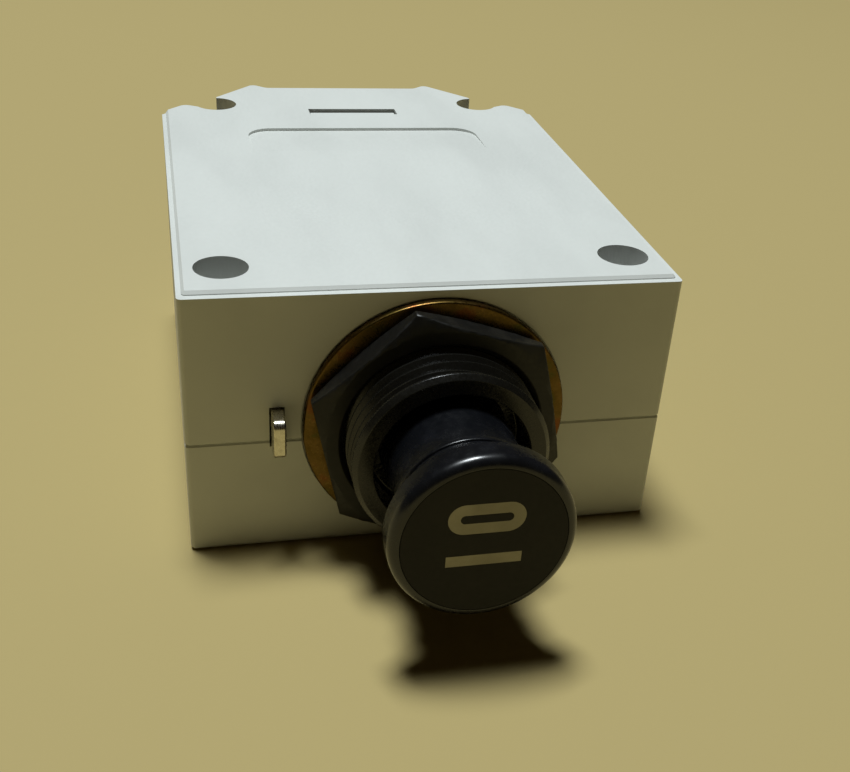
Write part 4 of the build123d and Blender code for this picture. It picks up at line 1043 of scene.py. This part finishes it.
class BREAKER_OT_flexibles(bpy.types.Operator):
    """Lays the braid's strands and winds the trip lever's spring"""
    bl_idname = "breaker.flexibles"
    bl_label = "Braid and Trip Spring"

    def execute(self, context):
        size = context.scene.breaker.release
        low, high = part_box("flexible_braid")
        radius = (high.y - low.y) / 2
        depth = (low.y + high.y) / 2
        bend = 2.0 * MM
        left, right, bottom = low.x + radius, high.x - radius, low.z + radius
        top_left, top_right = -3.0 * MM, 0.5 * MM
        _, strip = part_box("bimetal_strip")
        # down from the fixed contact, across under the bay and up to the strip's tip
        points = [(left, top_left)]
        corners = [(left, bottom), (right, bottom), (right, top_right)]
        ends = [(left, top_left), *corners, (strip.x, top_right)]
        for before, here, after in zip(ends, ends[1:], ends[2:]):
            one = (Vector(before) - Vector(here)).normalized() * bend
            two = (Vector(after) - Vector(here)).normalized() * bend
            centre = Vector(here) + one + two
            for k in range(9):
                a = pi / 2 * k / 8
                points.append(tuple(centre - two * cos(a) - one * sin(a)))
        points.append((strip.x, top_right))
        path = bpy.data.curves.new("braid_path", "CURVE")
        path.dimensions = "3D"
        spline = path.splines.new("POLY")
        spline.points.add(len(points) - 1)
        for spot, (x, z) in zip(spline.points, points):
            spot.co = (x, depth, z, 1)
        route = link("braid_path", path)
        braid = grown("laid_braid", tree_called("braid", braid_tree), "copper", Path=route,
                      Strands=size.strands * 2, Radius=radius - size.strand, Strand=size.strand,
                      Lay_Length=7.0 * MM)
        bpy.data.objects.remove(route)
        # it is clamped at the fixed contact and welded to the strip's tip
        settle(braid, None, "flexible_braid")
        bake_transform(braid)
        low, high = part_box("trip_spring")
        pin_low, pin_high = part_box("trip_lever_pin")
        middle = (pin_low + pin_high) / 2
        wire = 0.5 * MM
        hub = 2.1 * MM - wire / 2
        body = coil("trip_spring_turns", "spring_steel", Start=(middle.x, middle.y, low.z),
                    Length=high.z - low.z, Radius=hub, Wire=wire, Turns=4.0,
                    Lay=(pi / 2, 0.0, 0.0))
        legs = []
        for start, end in (((middle.x, middle.y + hub, low.z + wire / 2),
                            (high.x, middle.y + hub, low.z + wire / 2)),
                           ((middle.x - hub, middle.y, high.z - wire / 2),
                            (middle.x - hub, low.y, high.z - wire / 2))):
            leg = bmesh.new()
            way = Vector(end) - Vector(start)
            turned(leg, [(0.0, 0.0), (0.0, wire / 2), (way.length, wire / 2), (way.length, 0.0)],
                   steps=12)
            bmesh.ops.transform(leg, verts=leg.verts, matrix=(
                Matrix.Translation(start) @ way.to_track_quat("Y", "Z").to_matrix().to_4x4()))
            legs.append(from_bmesh("spring_leg", leg))
        spring = joined("torsion_spring", [body, *legs])
        settle(spring, "housing", "trip_spring")
        return {"FINISHED"}


class BREAKER_OT_arc_chutes(bpy.types.Operator):
    """Stacks the arc splitter plates between their fibre boards"""
    bl_idname = "breaker.arc_chutes"
    bl_label = "Arc Chutes"

    def execute(self, context):
        low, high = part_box("arc_splitters")
        bay = MM * BAY_INNER
        width = high.x - bay
        thick, pitch = 0.8 * MM, 1.9 * MM
        count = round((high.y - low.y - thick) / pitch) + 1
        # a flat plate with a V cut into its inner edge, where the arc is drawn in
        outline = [(0, 1), (width, 1), (width, -1), (0, -1), (0, -0.3), (width * 0.45, -0.06),
                   (width * 0.45, 0.06), (0, 0.3)]
        stacks = []
        for side in (1, -1):
            plate = bmesh.new()
            edge = [plate.verts.new((side * x, 0, z * high.z)) for x, z in outline]
            face = plate.faces.new(edge)
            grown_face = bmesh.ops.extrude_face_region(plate, geom=[face])
            moved = [g for g in grown_face["geom"] if isinstance(g, bmesh.types.BMVert)]
            bmesh.ops.translate(plate, verts=moved, vec=(0, thick, 0))
            bmesh.ops.recalc_face_normals(plate, faces=plate.faces)
            one = from_bmesh("splitter", plate)
            stacks.append(row(f"splitters_{side}", "splitter_steel", one, Count=count,
                              Start=(side * bay, low.y, 0.0), Step=(0.0, pitch, 0.0)))
        settle(joined("splitter_plates", stacks), "housing", "arc_splitters")
        settle(copy_of("arc_boards", "fibre_boards", 0.08 * MM), "housing", "arc_boards")
        return {"FINISHED"}


class BREAKER_OT_stage(bpy.types.Operator):
    """Sets the plain floor, the soft studio light and the camera"""
    bl_idname = "breaker.stage"
    bl_label = "Stage"

    def execute(self, context):
        size = context.scene.breaker.stage
        scene = context.scene
        low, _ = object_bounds()
        ground = bmesh.new()
        bmesh.ops.create_grid(ground, x_segments=1, y_segments=1, size=3.0)
        bmesh.ops.translate(ground, verts=ground.verts, vec=(0, 0, low.z))
        floor = from_bmesh("floor", ground)
        floor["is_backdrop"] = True
        paper = bpy.data.materials.new("plain matt paper")
        paper.use_nodes = True
        paper_shader = paper.node_tree.nodes["Principled BSDF"]
        paper_shader.inputs["Base Color"].default_value = size.floor
        paper_shader.inputs["Roughness"].default_value = 0.85
        floor.data.materials.append(paper)

        def lamp(name, place, aim, width, power, tint):
            light = bpy.data.lights.new(name, "AREA")
            light.size = width
            light.energy = power
            light.color = linear(tint)[:3]
            made = bpy.data.objects.new(name, light)
            scene.collection.objects.link(made)
            made.location = place
            made.rotation_euler = (Vector(place) - Vector(aim)).to_track_quat("Z", "Y").to_euler()

        # a cool soft light almost overhead, so the front stays in warm shade
        lamp("overhead", (-0.10, 0.22, 1.5), (0, 0.02, 0), 0.36, size.key, "#F1F9FC")
        world = bpy.data.worlds.new("plain surroundings")
        world.use_nodes = True
        sky = world.node_tree.nodes["Background"]
        sky.inputs["Color"].default_value = linear("#D2B26E")
        sky.inputs["Strength"].default_value = size.fill
        scene.world = world
        scene.view_settings.view_transform = "Standard"

        view = bpy.data.cameras.new("camera")
        view.sensor_width = 36.0
        view.lens = 49.77
        view.shift_x, view.shift_y = CAMERA_SHIFT
        view.clip_start, view.clip_end = 0.005, 20
        camera = bpy.data.objects.new("camera", view)
        scene.collection.objects.link(camera)
        camera.location = CAMERA_PLACE
        camera.rotation_mode = "QUATERNION"
        look = Vector(CAMERA_LOOK).to_track_quat("-Z", "Y")
        camera.rotation_quaternion = look @ Matrix.Rotation(CAMERA_ROLL, 4, "Z").to_quaternion()
        scene.camera = camera
        return {"FINISHED"}


# where the camera stands, what it looks along, and how far it is rolled
CAMERA_PLACE = (-0.02595, -0.10215, 0.0633)
CAMERA_LOOK = (0.2361, 0.8201, -0.5212)
CAMERA_ROLL = radians(4.79)
CAMERA_SHIFT = (-0.0475, 0.0512)
# sizes that no node's box gives, in millimetres
NECK_CREST = 10.0
FLANGE = 2.5
BAY_INNER = 12.4

OPERATORS = (
    BREAKER_OT_materials, BREAKER_OT_housing, BREAKER_OT_mount, BREAKER_OT_button,
    BREAKER_OT_contacts, BREAKER_OT_terminals, BREAKER_OT_releases, BREAKER_OT_flexibles,
    BREAKER_OT_arc_chutes, BREAKER_OT_stage,
)


class BREAKER_PT_panel(bpy.types.Panel):
    """Lists the breaker's pieces and their sizes"""
    bl_label = "Circuit Breaker"
    bl_idname = "BREAKER_PT_panel"
    bl_space_type = "VIEW_3D"
    bl_region_type = "UI"
    bl_category = "Breaker"

    def draw(self, context):
        for operator in OPERATORS:
            self.layout.operator(operator.bl_idname)
        sizes = context.scene.breaker
        for group in ("housing", "mount", "button", "contacts", "terminals", "release", "stage"):
            box = self.layout.box()
            box.label(text=group.title())
            values = getattr(sizes, group)
            for name in values.__annotations__:
                box.prop(values, name)


CLASSES = (
    HousingSettings, MountSettings, ButtonSettings, ContactSettings, TerminalSettings,
    ReleaseSettings, StageSettings, BreakerSettings, *OPERATORS, BREAKER_PT_panel,
)


def register():
    for cls in CLASSES:
        bpy.utils.register_class(cls)
    bpy.types.Scene.breaker = bpy.props.PointerProperty(type=BreakerSettings)


def unregister():
    del bpy.types.Scene.breaker
    for cls in reversed(CLASSES):
        bpy.utils.unregister_class(cls)


def main():
    register()
    for operator in OPERATORS:
        family, name = operator.bl_idname.split(".")
        getattr(getattr(bpy.ops, family), name)()


if __name__ == "__main__":
    main()
